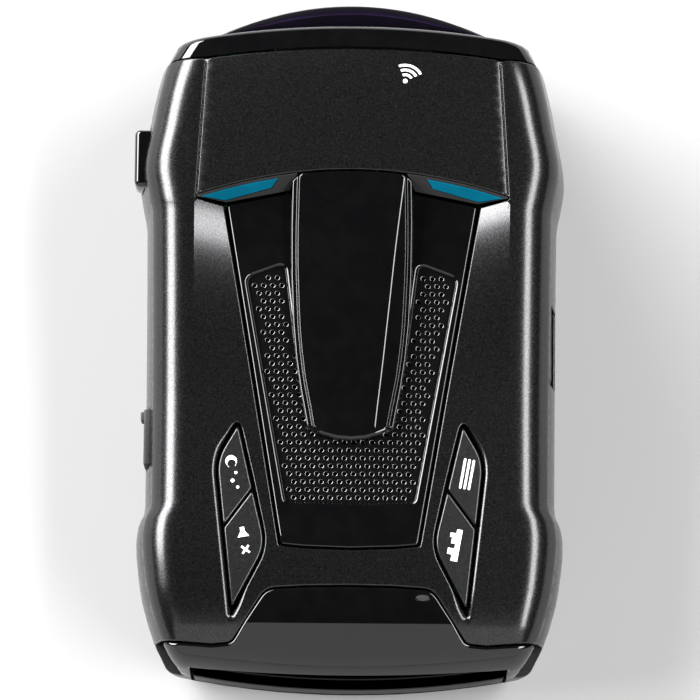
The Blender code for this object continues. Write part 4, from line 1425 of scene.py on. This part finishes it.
def makeFrontLens():
    low, high = nose["lens"][1], nose["lens"][3]
    level = math.sqrt(nose["lensRadius"] ** 2 - 25.0 ** 2)

    def bulge(u, v, zone=None):
        across = math.sqrt(nose["lensRadius"] ** 2 - u * u) - level
        height = abs(2 * (v - low) / (high - low) - 1)
        return Vector((-u, nose["lensEdgeY"] + across * (0.45 + 0.55 * (1 - height ** 4.2)), v))

    def rear(u, v, zone=None):
        return Vector((-u, nose["lensBack"], v))

    outline = {"outline": roundBox(*nose["lens"], 0.9), "spacing": 1.0}
    mesh = panelMesh("frontLens", outline, bulge, 2.0, nose["lensEdge"], (), 1.5, None, (), rear)
    addPiece("frontLens", mesh, finishes["noseSmoke"], "housing", ("front_lens",))


guide = {
    "body": ((-13.0, 36.0, 22.3), (13.0, 48.3, 27.3)),
    "flange": ((-14.15, 48.0, 22.25), (14.15, 50.6, 27.25)),
    "slot": ((-11.0, 37.6, 23.5), (11.0, 60.0, 26.1)),
    "tooth": ((10.5, 40.2, 23.5), (13.6, 43.8, 26.1)),
    "ribGroove": (6.0, 26.1, 0.6),  # x, z and radius of the two grooves in the slot's roof
}


def makeBracketGuide():
    body = boxMesh("bracketGuide", *guide["body"], 0.3)
    flange = boxMesh("guideFlange", *guide["flange"], 0.35)
    whole = cutMesh(body, [flange], "UNION")
    cutters = [boxMesh("guideSlot", *guide["slot"], 0.5), boxMesh("toothWindow", *guide["tooth"], 0.0)]
    x, z, radius = guide["ribGroove"]
    for side in (-1, 1):
        cutters.append(prismMesh(f"ribGroove{side}", circle(side * x, z, radius, 16), 38.0, 60.0, "Y"))
    whole = cutMesh(whole, cutters)
    addPiece("bracketGuide", whole, finishes["latchAcetal"], "housing", ("bracket_guide",))


makeFrontBezel()
makeFrontLens()
makeBracketGuide()
print("nose made")


lower = {
    "wall": 2.0, "floor": 2.4, "label": (-18.0, -34.0, 18.0, -12.0), "rearFace": -56.9, "seatRadius": 3.9,
    "headPocket": 3.1, "pocketLip": 3.75, "shankHole": 1.6,
    "slots": 9, "slotAt": 14.0, "slotPitch": 2.4, "slotHalf": 9.0, "slotWidth": 1.1,
}
screwSpots = ((25.2, 36.5), (-25.2, 36.5), (26.0, -38.0), (-26.0, -38.0))


def basePlan(z, more=0.0):
    # the plan at a height, from the seam at the nose to the bowed rear face
    inset = tableValue(base["profile"], z) + more
    rear = tableValue(base["rearProfile"], z) + more
    chain = [(x, seamLine(x) - 0.12 - 0.9 * more) for x in (0.0, 5.0, 10.0, 15.0, 20.0, 24.3, 28.0)]
    y = 45.8
    while y > -51.0:
        chain.append((smoothAlong("halfWidth", y) - inset, y - 0.4 * more * (y > 44)))
        y -= 1.6
    face = lower["rearFace"] + rear
    bow = [(x, face + x * x / housing["rearBow"]) for x in (26.0, 21.0, 16.0, 12.0, 8.0, 4.0, 0.0)]
    corner = [(30.9 - inset, -51.8), (29.8 - inset, -54.05 + rear), bow[0]]
    return chain, corner, bow[1:]


def baseLoop(z, more=0.0):
    chain, corner, bow = basePlan(z, more)
    whole = roundedChain([chain[-1], *corner, bow[0]], (1.6, 2.2, 1.5), 5)
    half = chain + whole[1:-1] + bow
    return [Vector((x, y, z)) for x, y in mirrored(half)]


def makeBottomCover():
    heights = [row[0] for row in base["profile"]]
    wall = lower["wall"]
    inner = [(heights[0] - 0.05, wall), (9.0, wall), (4.4, 2.2), (2.9, 2.9), (lower["floor"], 3.8)]
    rows = [baseLoop(z, more) for z, more in reversed(inner)]
    rows += [baseLoop(z) for z in heights]
    shell = gridMesh("bottomCover", rows)
    cutters = [
        prismMesh("windowCut", roundBox(-26.1, 5.2, 26.1, 20.0, 0.8), -70.0, -51.5, "Y"),
        prismMesh("labelPocket", roundBox(*lower["label"], 1.2), -1.0, 0.5),
    ]
    seats = []
    for index, (x, y) in enumerate(screwSpots):
        seats.append(coneMesh(f"seat{index}", (x, y, 2.2), (lower["seatRadius"],) * 2, 3.4))
        cutters.append(coneMesh(f"headPocket{index}", (x, y, 0.0), (lower["headPocket"],) * 2, 3.6))
        lip = (lower["pocketLip"], lower["headPocket"])
        cutters.append(coneMesh(f"pocketLip{index}", (x, y, 0.0), lip, 0.65))
        cutters.append(coneMesh(f"shankHole{index}", (x, y, 4.0), (lower["shankHole"],) * 2, 8.0, 24))
    for index in range(lower["slots"]):
        y = lower["slotAt"] + index * lower["slotPitch"]
        slot = roundBox(-lower["slotHalf"], y, lower["slotHalf"], y + lower["slotWidth"], 0.54)
        cutters.append(prismMesh(f"soundSlot{index}", slot, -1.0, 0.9))
    shell = cutMesh(shell, seats, "UNION", "MANIFOLD")
    shell = cutMesh(shell, cutters, "DIFFERENCE", "MANIFOLD")
    addPiece("bottomCover", shell, finishes["baseBlack"], "housing", ("bottom_cover",))


def makeScrews():
    # pan heads with a cross recess, their shanks up in the housing
    for index, (x, y) in enumerate(screwSpots):
        head = coneMesh("head", (x, y, 0.92), (2.7, 2.7), 1.16)
        dome = coneMesh("dome", (x, y, 0.42), (1.9, 2.7), 0.34)
        shank = coneMesh("shank", (x, y, 7.0), (1.45, 1.45), 11.2, 24)
        whole = cutMesh(head, [dome, shank], "UNION")
        arms = [
            boxMesh("armX", (x - 1.35, y - 0.32, -0.5), (x + 1.35, y + 0.32, 1.15), 0.0),
            boxMesh("armY", (x - 0.32, y - 1.35, -0.5), (x + 0.32, y + 1.35, 1.15), 0.0),
        ]
        whole = cutMesh(whole, arms)
        name = f"caseScrew{index + 1}"
        stands = (f"case_screw_{index + 1}",)
        addPiece(name, whole, finishes["screwSteel"], "housing", stands)


def makeLabel():
    x0, y0, x1, y1 = lower["label"]
    plate = prismMesh("blankLabel", roundBox(x0 + 0.4, y0 + 0.4, x1 - 0.4, y1 - 0.4, 1.0), 0.2, 0.45)
    addPiece("blankLabel", plate, finishes["labelSilver"], "housing", ("blank_label",))


makeBottomCover()
makeScrews()
makeLabel()
print("lower housing made")


sides = {
    "button": ((-36.2, 26.0, 17.0), (-30.6, 35.6, 24.0)),
    "buttonFlange": ((-31.1, 24.9, 16.2), (-30.2, 36.6, 24.4)),
    "flap": ((-34.15, -20.3, 14.4), (-32.9, -11.0, 20.6)),
    "nib": ((-34.75, -12.8, 16.0), (-33.6, -11.2, 19.0)),
    "jack": ((20.3, -6.3, 14.5), (33.1, 6.3, 23.0)),
    "mouth": ((21.5, -4.85, 15.6), (40.0, 4.85, 22.3)),
    "jackKey": ((26.0, -1.9, 14.9), (40.0, 1.9, 16.0)), "contacts": 4, "contactPitch": 1.02,
}


def makeReleaseButton():
    cap = boxMesh("releaseButton", *sides["button"], 0.9, 4)
    flange = boxMesh("buttonFlange", *sides["buttonFlange"], 0.2)
    whole = cutMesh(cap, [flange], "UNION")
    grips = []
    for i in range(3):
        y = 28.9 + i * 1.9
        grips.append(prismMesh(f"grip{i}", circle(-36.75, y, 0.8, 20), 18.4, 22.6))
    whole = cutMesh(whole, grips)
    stands = ("bracket_release_button",)
    addPiece("releaseButton", whole, finishes["pianoBlack"], "release", stands)


def makePortCover():
    flap = boxMesh("portCover", *sides["flap"], 0.3)
    nib = boxMesh("portNib", *sides["nib"], 0.28)
    whole = cutMesh(flap, [nib], "UNION")
    addPiece("portCover", whole, finishes["rubberBlack"], "port_flap", ("data_port_cover",))


def makePowerJack():
    body = boxMesh("powerJack", *sides["jack"], 0.35)
    mouth = boxMesh("jackMouth", *sides["mouth"], 0.25)
    key = boxMesh("jackKey", *sides["jackKey"], 0.0)
    body = cutMesh(body, [mouth, key])
    addPiece("powerJack", body, finishes["chipBlack"], "housing", ("power_jack",))
    for index in range(sides["contacts"]):
        y = (index - (sides["contacts"] - 1) / 2) * sides["contactPitch"]
        points = [Vector((x, y, z)) for x, z in ((32.0, 22.15), (30.6, 22.1), (23.0, 19.2), (22.0, 18.9))]
        contact = tubeMesh("jackContact", points, 0.2, 10)
        addPiece(f"jackContact{index + 1}", contact, finishes["goldContact"])


def tubeMesh(name, points, radius, sides):
    # a round wire along a line of points
    rows = []
    for i, point in enumerate(points):
        ahead = points[min(i + 1, len(points) - 1)] - points[max(i - 1, 0)]
        ahead.normalize()
        first = ahead.cross(Vector((0, 0, 1)) if abs(ahead.z) < 0.9 else Vector((0, 1, 0))).normalized()
        second = ahead.cross(first)
        row = []
        for k in range(sides):
            a = k * math.tau / sides
            row.append(point + first * math.cos(a) * radius + second * math.sin(a) * radius)
        rows.append(row)
    return gridMesh(name, rows)


spring = {
    "from": 17.85, "to": 22.75, "centre": (30.7, 22.2), "radius": 1.3, "wire": 0.19,
    "turns": 5, "steps": 20, "anchor": (0.0228, 0.0307, 0.0222), "keep": 0.64,
}


def makeLatchSpring():
    points = []
    count = spring["turns"] * spring["steps"]
    centreY, centreZ = spring["centre"]
    for i in range(count + 1):
        a = i * math.tau / spring["steps"]
        x = spring["from"] + (spring["to"] - spring["from"]) * i / count
        y = centreY + spring["radius"] * math.cos(a)
        points.append(Vector((x, y, centreZ + spring["radius"] * math.sin(a))))
    mesh = tubeMesh("latchSpring", points, spring["wire"], 10)
    finish = finishes["springSteel"]
    piece = addPiece("latchSpring", mesh, finish, "housing", ("latch_spring",))
    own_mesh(piece)


makeReleaseButton()
makePortCover()
makePowerJack()
makeLatchSpring()
print("sides made")


# what the housing holds keeps its solid, with its own finish
solidFinishes = {
    "latchAcetal": ("latch_bar",),
    "castZinc": ("horn_antenna",),
    "canSteel": ("rf_shield_can", "speaker_frame"),
    "boardGreen": ("rf_board", "main_board", "left_key_board", "right_key_board", "display_board"),
    "patchCeramic": ("patch_antenna",),
    "foamBlack": ("speaker_gasket",),
    "chipBlack": (
        "data_port", "light_sensor", "front_laser_sensor", "rear_laser_sensor",
        "dark_switch", "quiet_switch", "menu_switch", "city_switch",
    ),
    "conePaper": ("speaker_cone",),
    "magnetSteel": ("speaker_magnet",),
    "wireBlack": ("speaker_wire_1",),
    "wireRed": ("speaker_wire_2",),
    "displayBlack": ("display_module",),
    "clearLens": ("front_laser_lens",),
    "plungerWhite": (
        "dark_plunger", "quiet_plunger", "menu_plunger", "city_plunger", "left_led", "right_led",
    ),
}


def dressSolids():
    dressed = 0
    for finish, names in solidFinishes.items():
        for name in names:
            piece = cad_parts[name]
            piece.data.materials.clear()
            piece.data.materials.append(finishes[finish])
            dressed += 1
    print("solids given their finish:", dressed)


dressSolids()


stageLook = {"floorShade": 0.33, "floorSize": 3.0, "floorDrop": 0.00005}
studio = {
    "world": 0.03,
    # name: (turn about Y from straight up, turn towards the rear, distance, width, length, power)
    "right key": (42.5, 0.0, 1.20, 0.36, 1.80, 36.0),
    "left key": (-57.0, -30.0, 1.20, 0.56, 1.80, 84.0),
    "right low": (100.0, 0.0, 1.40, 0.32, 1.80, 16.0),
    "rear wall": (0.0, 66.0, 1.40, 2.20, 1.60, 14.0),
}


def makeFloor():
    mesh = bpy.data.meshes.new("floor")
    shape = bmesh.new()
    bmesh.ops.create_grid(shape, x_segments=4, y_segments=4, size=stageLook["floorSize"] / 2)
    shape.to_mesh(mesh)
    shape.free()
    floor = bpy.data.objects.new("floor", mesh)
    floor.location.z = -stageLook["floorDrop"]
    bpy.context.scene.collection.objects.link(floor)
    look = {"colour": (stageLook["floorShade"],) * 3, "rough": 0.85, "grain": 30.0}
    floor.data.materials.append(grainFinish("floorPale", look))


def makeLights():
    world = bpy.data.worlds.new("studio")
    bpy.context.scene.world = world
    world.use_nodes = True
    background = world.node_tree.nodes["Background"]
    background.inputs["Color"].default_value = (1.0, 1.0, 1.0, 1.0)
    background.inputs["Strength"].default_value = studio["world"]
    for name, values in studio.items():
        if name == "world":
            continue
        tiltX, tiltRear, distance, width, length, power = values
        data = bpy.data.lights.new(name, "AREA")
        data.shape = "RECTANGLE"
        data.size = width
        data.size_y = length
        data.energy = power
        lamp = bpy.data.objects.new(name, data)
        across = Matrix.Rotation(math.radians(tiltX), 4, "Y")
        turn = across @ Matrix.Rotation(math.radians(tiltRear), 4, "X")
        lamp.matrix_world = Matrix.Translation((0, 0, 0.02)) @ turn @ Matrix.Translation((0, 0, distance))
        bpy.context.scene.collection.objects.link(lamp)


view = {"elevation": 80.0, "distance": 0.80, "span": 0.11667, "roll": 0.45, "aim": (-0.00017, 0.0, 0.016)}


def makeCamera():
    data = bpy.data.cameras.new("camera")
    data.sensor_width = 36.0
    data.lens = data.sensor_width * view["distance"] / view["span"]
    camera = bpy.data.objects.new("camera", data)
    tilt = Matrix.Rotation(math.radians(90.0 - view["elevation"]), 4, "X")
    roll = Matrix.Rotation(math.radians(view["roll"]), 4, "Z")
    place = Matrix.Translation(view["aim"]) @ tilt @ roll @ Matrix.Translation((0, 0, view["distance"]))
    camera.matrix_world = place
    bpy.context.scene.collection.objects.link(camera)
    bpy.context.scene.camera = camera


makeFloor()
makeLights()
makeCamera()
bpy.context.scene.view_settings.view_transform = "Standard"
print("floor, lights and camera placed")
